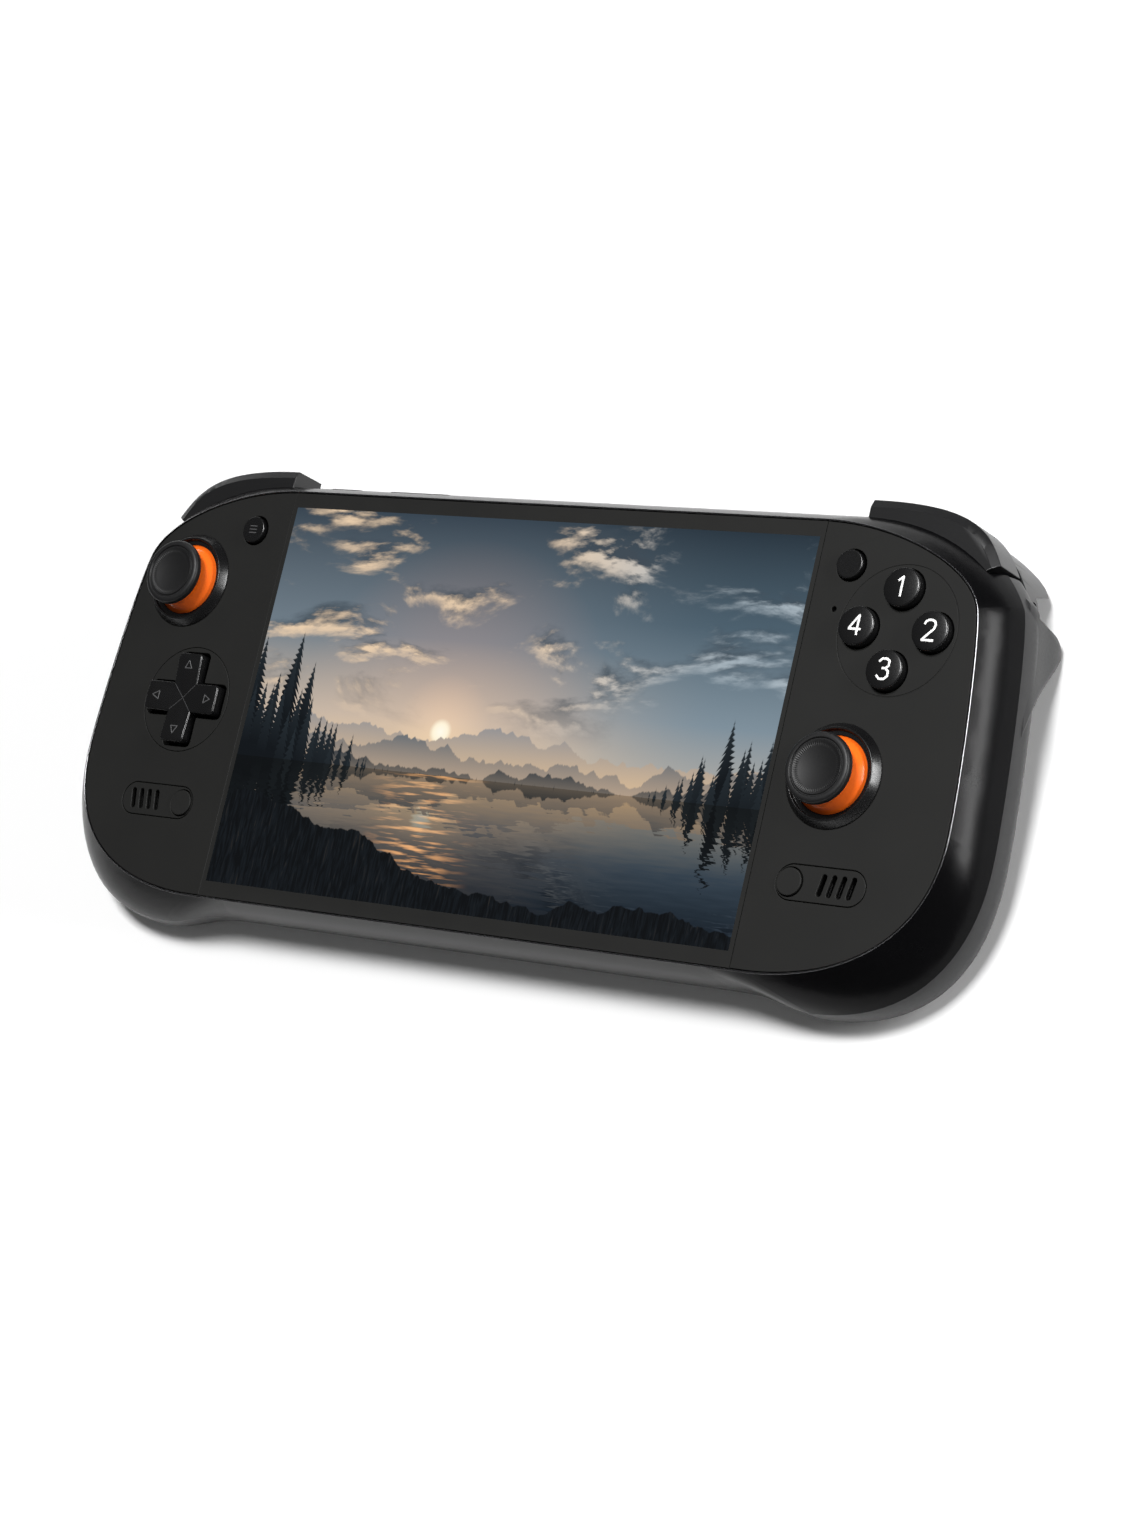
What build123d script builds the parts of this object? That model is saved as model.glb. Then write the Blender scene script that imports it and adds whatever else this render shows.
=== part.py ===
from build123d import *
import math
import os

# Handheld game console, millimetres.
# It is modelled in the frame of its own face: x to the right, y up the screen, z out of the
# face, with the face at z = 0 and the middle of the screen at x = y = 0. A depth is a
# distance behind the face. At the end every piece is turned into the pose in which the
# console lies on a table, on its back: its two rear humps hold the top edge up.

# Screen and face
screen_width = 172.3
screen_height = 107.7
border_top = 4.35
border_bottom = 4.45
panel_width = 53.2
panel_thickness = 1.2
glass_margin = 1.35
panel_gap = 0.05
edge_gap = 0.25
rim_land = 0.45
glass_half = screen_width / 2 + glass_margin
panel_middle = glass_half + panel_width / 2
face_half_width = glass_half + panel_width
face_top = screen_height / 2 + border_top
face_bottom = screen_height / 2 + border_bottom

# Outline of the face, right half: where its curves meet, from the top to the bottom middle
face_top_in = 54.4
face_top_handle = 21.7
face_corner_in = 5.5
face_corner_drop = 20.5
face_corner_handle = 11.4
face_corner_slope_share = 0.33
face_side_handle = 7.4
face_side_drop = 19.2
face_side_reach = 15.8
face_low_handle = 29.6
face_low_in = 49.6
face_low_reach = 23.7
face_mid_in = 62.0
face_mid_handle = 4.0

# Outline of the body where it is widest, given as growth over the face, right half
rim_top = 4.7
rim_side = 8.0
rim_grip = 6.8
rim_bottom = 2.9
wide_top_in = 48.0
wide_top_handle = 25.0
wide_corner_in = 6.5
wide_corner_drop = 21.1
wide_corner_handle = 10.5
wide_corner_slope_share = 0.6
wide_side_handle = 5.5
wide_side_drop = 23.3
wide_side_reach = 16.5
wide_low_handle = 28.7
wide_low_in = 40.4
wide_low_reach = 23.5
wide_mid_in = 66.3
wide_mid_handle = 13.2
wide_droop_handle = 8.0

# Depths of the casing
seam_depth = 11.0
rim_depth = 16.5
back_depth = 22.5
back_round = 9.0
back_turns = (35, 62, 90)
rim_steps = 3
wall = 2.2
deck_thickness = 2.0
cut_overrun = 2.0
inside_gap = 0.3

# Rear humps behind the shoulders and the palm swells below them
hump_crest_depth = 34.4
hump_crest_drop = 21.8
hump_crest_y = face_top - hump_crest_drop
hump_root_depth = 14.0
hump_length = 51.2
hump_foot_y = face_top - hump_length
hump_root_drop = 12.7
hump_root_top_y = face_top - hump_root_drop
hump_outer_in = 1.2
hump_outer_lean = 4.6
hump_inner_out = 11.5
hump_inner_x = glass_half + hump_inner_out
hump_inner_lean = 14.0
hump_corner = 4.0
hump_tip = 1.3
hump_half_crest = 3.2
hump_level_shares = (0, 0.3, 0.6, 0.86, 1)
hump_low_bend = 0.72
hump_high_bend = 1.5
hump_outer_draw_share = 0.75
hump_corner_share = 0.42
palm_depth = 25.9
palm_low_gap = 1.3
palm_in = 19.7
palm_x = face_half_width - palm_in
palm_half_width = 20.0
palm_half_length = 34.0
palm_y = palm_half_length + palm_low_gap - face_bottom
palm_top_angle = 75.0
palm_heel_angle = 68.0
palm_steps = 4
rest_shave = 0.35

# Shoulder: bumper in front, trigger behind it, on the right
bumper_front_depth = 6.0
bumper_back_depth = 17.4
bumper_inner_out = 7.5
bumper_inner_x = glass_half + bumper_inner_out
bumper_rise = 8.2
bumper_top_y = face_top + bumper_rise
bumper_top_handle = 30.0
bumper_end_in = 5.5
bumper_end_x = face_half_width - bumper_end_in
bumper_end_drop = 7.2
bumper_end_y = face_top - bumper_end_drop
bumper_end_handle = 10.0
bumper_end_angle = 60.0
bumper_thickness = 8.0
bumper_inner_handle_share = 0.8
bumper_chamfer = 1.1
bumper_gap = 0.35
bumper_floor_gap = 1.7
bumper_end_gap = 1.2
bumper_pin_out = 4.0
bumper_pin_x = bumper_inner_x + bumper_pin_out
bumper_pin_drop = 1.8
bumper_pin_y = face_top - bumper_pin_drop
bumper_skin = 1.6
bumper_lug = 2.0
trigger_front_depth = 18.2
trigger_back_depth = 33.4
trigger_inner_out = 9.3
trigger_inner_x = glass_half + trigger_inner_out
trigger_rise = 7.0
trigger_top_y = face_top + trigger_rise
trigger_top_handle = 30.0
trigger_end_in = 1.8
trigger_end_x = face_half_width - trigger_end_in
trigger_end_drop = 13.3
trigger_end_y = face_top - trigger_end_drop
trigger_end_handle = 12.0
trigger_end_angle = 63.0
trigger_axis_out = 3.2
trigger_axis_x = trigger_inner_x + trigger_axis_out
trigger_axis_drop = 3.8
trigger_axis_y = face_top - trigger_axis_drop
trigger_axis_angle = 13.5
trigger_axis_depth = 21.3
trigger_boss = 2.4
trigger_skin = 2.2
trigger_lip = 2.6
trigger_rear_v = 6.0
trigger_gap = 0.4
pin_radius = 1.0
pin_play = 0.05
ear_width = 2.6
pin_length = 27.0
spring_radius = 1.8
shoulder_wall = 1.6

# Layers behind the face
board_thickness = 1.0
display_thickness = 2.4
display_margin = 2.3
frame_thickness = 1.0
frame_margin_x = 6.0
standoff = 2.0

# Thumbsticks
stick_left_out = 4.6
stick_left_x = -panel_middle - stick_left_out
stick_left_drop = 27.6
stick_left_y = face_top - stick_left_drop
stick_right_in = 8.7
stick_right_x = panel_middle - stick_right_in
stick_right_y = -7.3
stick_pivot_depth = 6.3
dome_radius = 12.5
dome_play = 0.2
dome_wall = 0.9
dome_edge_angle = 72.0
ring_base_radius = 13.8
ring_top_radius = 12.0
ring_height = 2.5
ring_step_radius = 11.5
ring_step_height = 1.4
ring_spigot_radius = 12.2
cap_radius = 9.2
cap_bottom = 6.4
cap_top = 9.0
cap_ring_radius = 7.3
cap_dish = 0.9
cap_edge = 0.9
neck_radius = 3.2
shaft_radius = 1.5
module_half = 7.0
module_wall = 1.0
module_top = 3.0
module_play = 1.1
yoke_half = 5.5
yoke_bar = 1.5
yoke_thickness = 2.4
arm_radius = 2.6
trunnion_radius = 0.9
press_travel = 0.4
ear_reach = 2.6

# D-pad
pad_in = 4.8
pad_x = pad_in - panel_middle
pad_y = -3.75
pad_disc_radius = 15.05
pad_disc_lip = 13.8
pad_disc_depth = 2.6
pad_arm_width = 8.4
pad_arm_reach = 12.8
pad_well_gap = 0.85
pad_height = 2.6
pad_flange_radius = 13.2
pad_flange_depth = 4.1
pad_flange_thickness = 0.8
pad_ball_radius = 1.2
pad_ball_play = 0.06
pad_boss_radius = 2.6
pad_slope = 0.9
pad_corner = 1.2
pad_edge = 0.45
pad_mark_size = 2.6
pad_mark_line = 0.3
pad_mark_depth = 0.2
pad_mark_in = 3.1

# Round buttons
face_pad_out = 0.2
face_pad_x = panel_middle + face_pad_out
face_pad_drop = 27.4
face_pad_y = face_top - face_pad_drop
face_pad_reach = 10.6
face_cap_radius = 5.15
face_cap_height = 2.8
face_cap_crown = 0.35
face_cap_edge = 0.5
face_travel = 1.2
face_circle_radius = 17.1
face_circle_line = 0.3
face_circle_depth = 0.2
button_gap = 0.35
flange_reach = 1.0
flange_thickness = 0.8
flange_gap = 0.2
menu_left_out = 11.8
menu_left_x = -glass_half - menu_left_out
menu_left_drop = 11.8
menu_left_y = face_top - menu_left_drop
menu_right_out = 9.7
menu_right_x = glass_half + menu_right_out
menu_right_drop = 11.4
menu_right_y = face_top - menu_right_drop
menu_cap_radius = 3.8
menu_cap_height = 1.3
menu_hole_gap = 0.5
menu_travel = 0.6
stem_radius = 1.2
switch_height = 0.6
switch_half = 1.6
light_in = 19.5
light_x = face_pad_x - light_in
light_rise = 4.4
light_y = face_pad_y + light_rise
light_radius = 0.7
rubber_sheet = 0.4
rubber_dome_radius = 2.6
rubber_dome_height = 1.3
pad_dome_reach = 9.0

# Pill grilles with their small buttons
pill_left_in = 3.3
pill_left_x = pill_left_in - panel_middle
pill_left_rise = 25.1
pill_left_y = pill_left_rise - face_bottom
pill_right_in = 5.8
pill_right_x = panel_middle - pill_right_in
pill_right_rise = 23.5
pill_right_y = pill_right_rise - face_bottom
pill_length = 25.7
pill_width = 9.0
pill_gap = 0.2
pill_button_offset = 9.0
pill_button_radius = 3.55
pill_button_height = 0.5
pill_travel = 0.5
slot_count = 4
slot_pitch = 2.75
slot_length = 5.3
slot_width = 1.2
slot_slant = 10.0
slot_middle_offset = 4.6

# Speakers and motors
speaker_length = 20.0
speaker_width = 13.0
speaker_height = 5.0
motor_radius = 5.0
motor_height = 3.4
motor_in = 28.7
motor_x = face_half_width - motor_in
motor_rise = 12.3
motor_y = motor_rise - face_bottom

# Case screws and their posts
post_radius = 3.0
screw_radius = 1.0
screw_head_radius = 2.0
screw_head_height = 1.2
screw_sink = 0.6
screw_length = 7.0
post_glass_out = 4.1
post_in_x = glass_half + post_glass_out
post_high_drop = 4.2
post_high_y = face_top - post_high_drop
post_low_rise = 8.3
post_low_y = post_low_rise - face_bottom
post_side_in = 9.7
post_out_x = face_half_width - post_side_in
post_out_rise = 18.3
post_out_y = post_out_rise - face_bottom
screw_seat_depth = 19.6

# Boards behind the buttons and the small posts that carry them
board_glass_out = 4.0
board_inner_x = glass_half + board_glass_out
board_side_in = 9.7
board_outer_x = face_half_width - board_side_in
board_low_y = -24.0
board_top_drop = 12.5
board_high_y = face_top - board_top_drop
board_corner_x = 7.0
board_corner_y = 10.0
board_post_radius = 1.6
board_post_glass_out = 8.9
board_post_in_x = glass_half + board_post_glass_out
board_post_side_in = 12.7
board_post_out_x = face_half_width - board_post_side_in
board_post_high_y = 22.0
board_post_mid_y = 10.0
board_post_low_y = -21.0

# Mainboard, battery, cooling
mainboard_side_in = 7.5
mainboard_half_width = glass_half - mainboard_side_in
mainboard_low_y = -2.0
mainboard_top_drop = 6.2
mainboard_high_y = face_top - mainboard_top_drop
mainboard_tab_drop = 0.7
mainboard_tab_y = face_top - mainboard_tab_drop
mainboard_tab_in = 3.5
mainboard_tab_width = 34.0
mainboard_tab_x1 = glass_half - mainboard_tab_in
mainboard_tab_x0 = mainboard_tab_x1 - mainboard_tab_width
chip_x = -12.0
chip_y = 26.0
chip_half = 12.0
chip_height = 1.4
storage_length = 42.0
storage_width = 22.0
storage_thickness = 1.0
storage_lift = 1.5
storage_in = 26.0
storage_x = storage_in - mainboard_half_width
storage_y = 12.0
battery_half_width = 66.0
battery_low_gap = 4.3
battery_low_y = battery_low_gap - face_bottom
battery_high_y = -6.0
battery_thickness = 9.0
sink_plate = 1.2
sink_half = 15.0
fin_thickness = 0.5
fin_count = 18
fin_x0 = -22.0
fin_x1 = 20.0
fin_length = 12.0
fin_top_drop = 2.2
fin_y1 = face_top - fin_top_drop
fin_y0 = fin_y1 - fin_length
fan_x = 44.0
fan_y = 26.0
fan_half = 21.0
fan_height = 8.6
fan_wall = 1.0
fan_rotor_radius = 18.0
fan_hub_radius = 7.5
fan_blade_count = 19
fan_blade_thickness = 0.6
fan_inlet_radius = 14.0
fan_outlet_low = 6.0
fan_clearance = 0.6

# Openings in the casing
vent_count = 12
vent_pitch = 3.4
vent_width = 1.5
vent_length = 34.0
exhaust_count = 12
exhaust_pitch = 3.4
exhaust_width = 1.6
exhaust_front_depth = 8.0
exhaust_back_depth = 16.0
port_in = 27.5
port_x = glass_half - port_in
port_width = 8.94
port_height = 3.26
port_length = 7.4
port_wall = 0.3
port_tongue = 0.7
port_clearance = 0.2
jack_in = 10.5
jack_x = glass_half - jack_in
jack_bore = 1.8
jack_barrel = 2.9
jack_length = 15.0
jack_end = 1.0

# Keys on the top edge
key_depth = 8.0
key_width = 3.2
key_height = 0.15
key_travel = 0.4
key_gap = 0.2
key_flange = 0.9
power_in = 11.5
power_x = power_in - glass_half
power_length = 12.0
volume_in = 37.5
volume_x = volume_in - glass_half
volume_length = 22.0

# Pose on the table: the plane that touches the hump crests and the palm swells
heel_y = palm_y - palm_half_length * math.cos(math.radians(palm_heel_angle))
heel_rise = math.sin(math.radians(palm_heel_angle)) / math.sin(math.radians(palm_top_angle))
heel_depth = rim_depth + (palm_depth - rim_depth) * heel_rise - rest_shave
crest_depth = hump_crest_depth - rest_shave
rest_tilt = math.degrees(math.atan2(crest_depth - heel_depth, hump_crest_y - heel_y))
rest_turn = math.radians(rest_tilt)
rest_lift = crest_depth * math.cos(rest_turn) - hump_crest_y * math.sin(rest_turn)

pieces = {}


def slab(flat, front, back):
    """A flat figure given a body between two depths."""
    return Pos(0, 0, -back) * extrude(flat, amount=back - front, dir=(0, 0, 1))


def rod(x, y, radius, front, back):
    """A round bar square to the face, between two depths."""
    low = (Align.CENTER, Align.CENTER, Align.MIN)
    return Pos(x, y, -back) * Cylinder(radius, back - front, align=low)


def block(x0, x1, y0, y1, front, back):
    """A box between two depths."""
    middle = Pos((x0 + x1) / 2, (y0 + y1) / 2, -(front + back) / 2)
    return middle * Box(x1 - x0, y1 - y0, back - front)


def turned(*points):
    """A body turned about z from a closed run of (radius, height) points."""
    return revolve(Plane.XZ * make_face(Polyline(*points, close=True)), Axis.Z)


def flipped(shape):
    """The same piece on the other side of the console."""
    return mirror(shape, about=Plane.YZ)


def outline(grown, inset=0):
    """Closed outline of the body: grown 0 is the face, 1 the widest, less an inset."""

    def between(face_value, wide_value):
        return face_value + (wide_value - face_value) * grown

    half_width = between(face_half_width, face_half_width + rim_side)
    top = between(face_top, face_top + rim_top)
    low = between(face_bottom, face_bottom + rim_grip)
    middle = between(face_bottom, face_bottom + rim_bottom)
    slope = between(face_corner_slope_share, wide_corner_slope_share)
    along = Vector(slope, -1).normalized()
    outward = Vector(1, slope).normalized()
    start = Vector(face_half_width - between(face_top_in, wide_top_in) + grown * rim_side, top - inset)
    corner = Vector(
        half_width - between(face_corner_in, wide_corner_in),
        top - between(face_corner_drop, wide_corner_drop),
    )
    corner = corner - outward * inset
    side = Vector(half_width - inset, -between(face_side_drop, wide_side_drop))
    grip = Vector(half_width - between(face_low_in, wide_low_in), inset - low)
    mid = Vector(half_width - between(face_mid_in, wide_mid_in), inset - middle)
    runs = [
        (start, start + Vector(between(face_top_handle, wide_top_handle), 0),
         corner - along * between(face_corner_handle, wide_corner_handle), corner),
        (corner, corner + along * between(face_side_handle, wide_side_handle),
         side + Vector(0, between(face_side_reach, wide_side_reach)), side),
        (side, side - Vector(0, between(face_low_handle, wide_low_handle)),
         grip + Vector(between(face_low_reach, wide_low_reach), 0), grip),
        (grip, grip - Vector(between(face_mid_handle, wide_droop_handle), 0),
         mid + Vector(between(face_mid_handle, wide_mid_handle), 0), mid),
    ]

    def over(point):
        return Vector(-point.X, point.Y)

    right = [Bezier(*run) for run in runs]
    left = [Bezier(*[over(point) for point in reversed(run)]) for run in reversed(runs)]
    bottom = Line(mid, over(mid))
    across = Line(over(start), start)
    return Face(Wire([*right, bottom, *left, across]))


def rim_growth(depth):
    """How far the rim has grown at a depth: a parabola that ends upright."""
    return 1 - (1 - depth / rim_depth) ** 2


def body_sections(inset, front, back, last):
    """Outlines at chosen depths, to be skinned: rim first, then the rounded back."""
    deepest = min(back, rim_depth)
    depths = [front + (deepest - front) * step / rim_steps for step in range(rim_steps + 1)]
    sections = [Pos(0, 0, -d) * outline(rim_growth(d), inset) for d in depths]
    if back > rim_depth:
        for turn in back_turns:
            depth = rim_depth + (last - rim_depth) * math.sin(math.radians(turn))
            drawn_in = back_round * (1 - math.cos(math.radians(turn)))
            sections.append(Pos(0, 0, -depth) * outline(1, inset + drawn_in))
    return sections


def hump(inset):
    """Rear hump on the right: rounded four-sided sections that shrink to a crest."""
    sections = []
    crest_low = hump_crest_y - hump_half_crest + inset / 2
    crest_high = hump_crest_y + hump_half_crest - inset / 2
    for share in hump_level_shares:
        round_in = hump_tip * (share == 1)
        shrink = inset * (1 - share)
        depth = hump_root_depth + (hump_crest_depth - inset - hump_root_depth) * share
        low = hump_foot_y + (crest_low - hump_foot_y) * share ** hump_low_bend + shrink + round_in
        high = hump_root_top_y + (crest_high - hump_root_top_y) * share ** hump_high_bend
        high -= shrink + round_in
        outer = face_half_width + rim_side - hump_outer_in - inset
        outer_low = outer - hump_outer_lean * share
        drawn = hump_outer_draw_share * (high - low) / (hump_root_top_y - hump_foot_y)
        outer_high = outer_low - rim_side * drawn
        inner = hump_inner_x + hump_inner_lean * share + inset
        corners = [
            (outer_low - round_in, low), (outer_high - round_in, high), (inner + round_in, high),
            (inner + hump_corner + round_in, low),
        ]
        figure = make_face(Polyline(*corners, close=True))
        radius = min(hump_corner, (high - low) * hump_corner_share)
        sections.append(Pos(0, 0, -depth) * fillet(figure.vertices(), radius))
    return loft(sections)


def palm(inset):
    """Low palm swell on the right: ellipses that shrink towards its top."""
    sections = []
    root = rim_depth
    full = math.sin(math.radians(palm_top_angle))
    for step in range(palm_steps + 1):
        turn = math.radians(palm_top_angle * step / palm_steps)
        share = math.cos(turn)
        depth = root + (palm_depth - inset - root) * math.sin(turn) / full
        flat = Ellipse((palm_half_width - inset) * share, (palm_half_length - inset) * share)
        sections.append(Pos(palm_x, palm_y, -depth) * flat)
    return loft(sections)


def shoulder_curve(x0, y0, handle, x1, y1, end_handle, angle, grow, end_grow):
    """Outer curve of a shoulder piece, from its inner end round the corner, grown on its sides."""
    turn = math.radians(angle)
    along = Vector(math.cos(turn), -math.sin(turn))
    outward = Vector(math.sin(turn), math.cos(turn))
    end = Vector(x1, y1) + along * end_grow + outward * grow
    top = y0 + grow
    return Bezier((x0 - grow, top), (x0 + handle, top), end - along * (end_handle + end_grow), end)


def bumper_plan(grow, floor, end_grow):
    """The bumper seen from the front, grown by a gap and lowered at its inner side."""
    curve = shoulder_curve(
        bumper_inner_x, bumper_top_y, bumper_top_handle,
        bumper_end_x, bumper_end_y, bumper_end_handle, bumper_end_angle, grow, end_grow,
    )
    inner_start = Vector(bumper_inner_x - grow, bumper_top_y - bumper_thickness - floor)
    turn = math.radians(bumper_end_angle)
    inward = Vector(-math.sin(turn), -math.cos(turn)) * (bumper_thickness + floor + grow)
    inner_end = curve @ 1 + inward
    reach = Vector(bumper_top_handle, 0) * bumper_inner_handle_share
    slope = Vector(-math.cos(turn), math.sin(turn)) * bumper_end_handle
    inner = Bezier(inner_end, inner_end + slope, inner_start + reach, inner_start)
    return Face(Wire([curve, Line(curve @ 1, inner_end), inner, Line(inner_start, curve @ 0)]))


def trigger_frame():
    """Plane square to the trigger's axis: local x up out of the shoulder, local z along it."""
    turn = math.radians(trigger_axis_angle)
    along = (math.cos(turn), -math.sin(turn), 0)
    outward = (math.sin(turn), math.cos(turn), 0)
    origin = (trigger_axis_x, trigger_axis_y, -trigger_axis_depth)
    return Plane(origin=origin, x_dir=outward, z_dir=along)


def on_trigger_axis(radius, start, length):
    """A bar on the trigger's axis from start along it."""
    low = (Align.CENTER, Align.CENTER, Align.MIN)
    return trigger_frame() * Pos(0, 0, start) * Cylinder(radius, length, align=low)


def along_trigger(points, start, length):
    """A side profile of (outward, depth) points carried along the trigger's axis."""
    # Local y of the trigger's plane points into the console's depth or out of it.
    frame = trigger_frame()
    sense = -1 if frame.y_dir.Z < 0 else 1
    local = [(v, sense * (trigger_axis_depth - depth)) for v, depth in points]
    profile = make_face(Polyline(*local, close=True))
    return frame * Pos(0, 0, start) * extrude(profile, amount=length, dir=(0, 0, 1))


def trigger_room(grow):
    """The notch in the rear shell that the trigger swings in."""
    low = -trigger_boss - trigger_gap - grow
    deep = hump_crest_depth + cut_overrun
    far = bumper_top_y
    front = bumper_back_depth + bumper_gap - grow
    inner_x = trigger_inner_x - trigger_gap - grow
    points = [(low, front), (far, front), (far, deep), (low - trigger_boss, deep)]
    room = along_trigger(points, -face_half_width, face_half_width * 2)
    return room & block(inner_x, face_half_width * 2, 0, face_half_width, 0, deep)


def bumper_room(grow):
    """The channel that the bumper moves in, open to the outside."""
    plan = bumper_plan(bumper_gap + grow, bumper_floor_gap, bumper_end_gap + grow)
    front = bumper_front_depth - bumper_gap - grow
    back = bumper_back_depth + bumper_gap + grow
    beyond = block(
        bumper_inner_x - bumper_gap - grow, bumper_end_x + bumper_end_gap + grow,
        bumper_top_y - cut_overrun, bumper_top_y + cut_overrun * 2, front, back,
    )
    lug = rod(bumper_pin_x, bumper_pin_y, bumper_lug + bumper_gap + grow, front, back)
    return slab(plan, front, back) + beyond + lug


def pill(x, y, grow):
    """Flat pill outline of a grille."""
    return Pos(x, y) * SlotOverall(pill_length + 2 * grow, pill_width + 2 * grow)


def four_places():
    """Centres of the four face buttons: top, right, bottom, left."""
    offsets = {"top": (0, 1), "right": (1, 0), "bottom": (0, -1), "left": (-1, 0)}
    return {
        name: (face_pad_x + face_pad_reach * dx, face_pad_y + face_pad_reach * dy)
        for name, (dx, dy) in offsets.items()
    }


sticks = {"left": (stick_left_x, stick_left_y), "right": (stick_right_x, stick_right_y)}
menus = {"left": (menu_left_x, menu_left_y), "right": (menu_right_x, menu_right_y)}
pills = {
    "left": (pill_left_x, pill_left_y, pill_left_x + pill_button_offset, -1),
    "right": (pill_right_x, pill_right_y, pill_right_x - pill_button_offset, 1),
}
face_hole = face_cap_radius + button_gap
menu_hole = menu_cap_radius + menu_hole_gap
pill_hole = pill_button_radius + pill_gap
deck_back = panel_thickness + deck_thickness
board_depth = deck_back + flange_gap + flange_thickness + face_travel + rubber_dome_height + inside_gap
module_height = module_top + arm_radius + cap_edge + press_travel + module_play + module_wall
display_back = panel_thickness + display_thickness
frame_back = display_back + frame_thickness
mainboard_front = frame_back + standoff
mainboard_back = mainboard_front + board_thickness
board_back = board_depth + board_thickness
floor_depth = back_depth - wall
jack_depth = mainboard_back + jack_barrel
ear_start = pin_length - ear_width * 2
trigger_pin_start = trigger_inner_x - trigger_axis_x - trigger_gap - shoulder_wall
key_foot_line = face_top + rim_top * rim_growth(key_depth - key_width / 2 - key_flange) - wall
key_foot = key_foot_line - key_gap * 1.5 - key_flange
board_posts = [
    (sign * x, y) for sign in (-1, 1)
    for x, y in (
        (board_post_in_x, board_post_high_y), (board_post_out_x, board_post_mid_y),
        (board_post_in_x, board_post_low_y),
    )
]
post_places = [
    (sign * x, y) for sign in (-1, 1)
    for x, y in ((post_in_x, post_high_y), (post_in_x, post_low_y), (post_out_x, post_out_y))
]


def top_ports(grow):
    """Cuts of the USB-C socket and the headphone jack through the top wall."""
    y0 = face_top - port_length
    y1 = face_top + rim_top + cut_overrun
    corner = port_height / 2 + grow - inside_gap / 2
    socket = RectangleRounded(port_width + 2 * grow, port_height + 2 * grow, corner)
    middle_depth = mainboard_back + port_height / 2
    cut = Pos(port_x, y0, -middle_depth) * Rot(-90, 0, 0) * extrude(socket, amount=y1 - y0)
    barrel = extrude(Circle(jack_barrel + grow), amount=y1 - y0)
    return cut + Pos(jack_x, y0, -jack_depth) * Rot(-90, 0, 0) * barrel


def top_key(x, length, grow, low, high):
    """Rounded bar that stands in the top edge, from y low to y high."""
    flat = RectangleRounded(length + 2 * grow, key_width + 2 * grow, key_width / 2 - inside_gap / 2)
    return Pos(x, low, -key_depth) * Rot(-90, 0, 0) * extrude(flat, amount=high - low)


def casing_cuts():
    """Everything that opens both halves of the casing."""
    cuts = top_ports(port_clearance)
    key_low = face_top - wall * 2
    key_high = face_top + rim_top + cut_overrun
    cuts += top_key(power_x, power_length, key_gap, key_low, key_high)
    cuts += top_key(volume_x, volume_length, key_gap, key_low, key_high)
    middle = (exhaust_count - 1) / 2
    for index in range(exhaust_count):
        x = (fin_x0 + fin_x1) / 2 + (index - middle) * exhaust_pitch
        cuts += block(
            x - exhaust_width / 2, x + exhaust_width / 2, face_top - wall, key_high,
            exhaust_front_depth, exhaust_back_depth,
        )
    return cuts


def make_front_housing():
    """Rim and deck: the front half of the casing."""
    outer = loft(body_sections(-rim_land, 0, seam_depth, seam_depth))
    inner = loft(body_sections(wall, deck_back, seam_depth + cut_overrun, seam_depth + cut_overrun))
    for side in (bumper_room(shoulder_wall), flipped(bumper_room(shoulder_wall))):
        inner -= side
    shell = outer - inner
    shell -= slab(outline(0, 0), -cut_overrun, panel_thickness)
    for side in (bumper_room(0), flipped(bumper_room(0))):
        shell -= side
    display_x = screen_width / 2 + display_margin + inside_gap
    display_y = screen_height / 2 + display_margin + inside_gap
    shell -= block(-display_x, display_x, -display_y, display_y, panel_thickness, seam_depth)
    for x, y in sticks.values():
        shell -= rod(x, y, dome_radius + dome_play + inside_gap, 0, seam_depth)
    shell -= rod(pad_x, pad_y, pad_disc_lip + inside_gap / 3, 0, seam_depth)
    for x, y in four_places().values():
        shell -= rod(x, y, face_hole, 0, deck_back + cut_overrun)
    for x, y in menus.values():
        shell -= rod(x, y, menu_hole, 0, deck_back + cut_overrun)
    for x, y, button_x, away in pills.values():
        shell -= rod(button_x, y, pill_hole, 0, deck_back + cut_overrun)
        window_x = x + away * slot_middle_offset
        half = slot_pitch * slot_count / 2
        shell -= block(
            window_x - half, window_x + half, y - slot_length / 2, y + slot_length / 2,
            0, deck_back + cut_overrun,
        )
    for x, y in post_places:
        shell += rod(x, y, post_radius, deck_back - inside_gap, screw_seat_depth)
        shell -= rod(x, y, screw_radius, screw_seat_depth - screw_length, screw_seat_depth + cut_overrun)
    for x, y in board_posts:
        shell += rod(x, y, board_post_radius, deck_back - inside_gap, board_depth)
    room_front = bumper_front_depth - bumper_gap
    for sign in (-1, 1):
        x = sign * bumper_pin_x
        shell += rod(x, bumper_pin_y, bumper_lug, deck_back - inside_gap, room_front)
        shell -= rod(x, bumper_pin_y, pin_radius, deck_back, room_front + cut_overrun)
    pad_size = frame_margin_x - inside_gap * 4
    for sign_x in (-1, 1):
        for y in (-screen_height / 4, screen_height / 4):
            x = sign_x * (display_x + pad_size / 2)
            shell += block(
                x - pad_size / 2, x + pad_size / 2, y - pad_size, y + pad_size,
                deck_back - inside_gap, display_back,
            )
    shell -= casing_cuts()
    return shell


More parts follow.
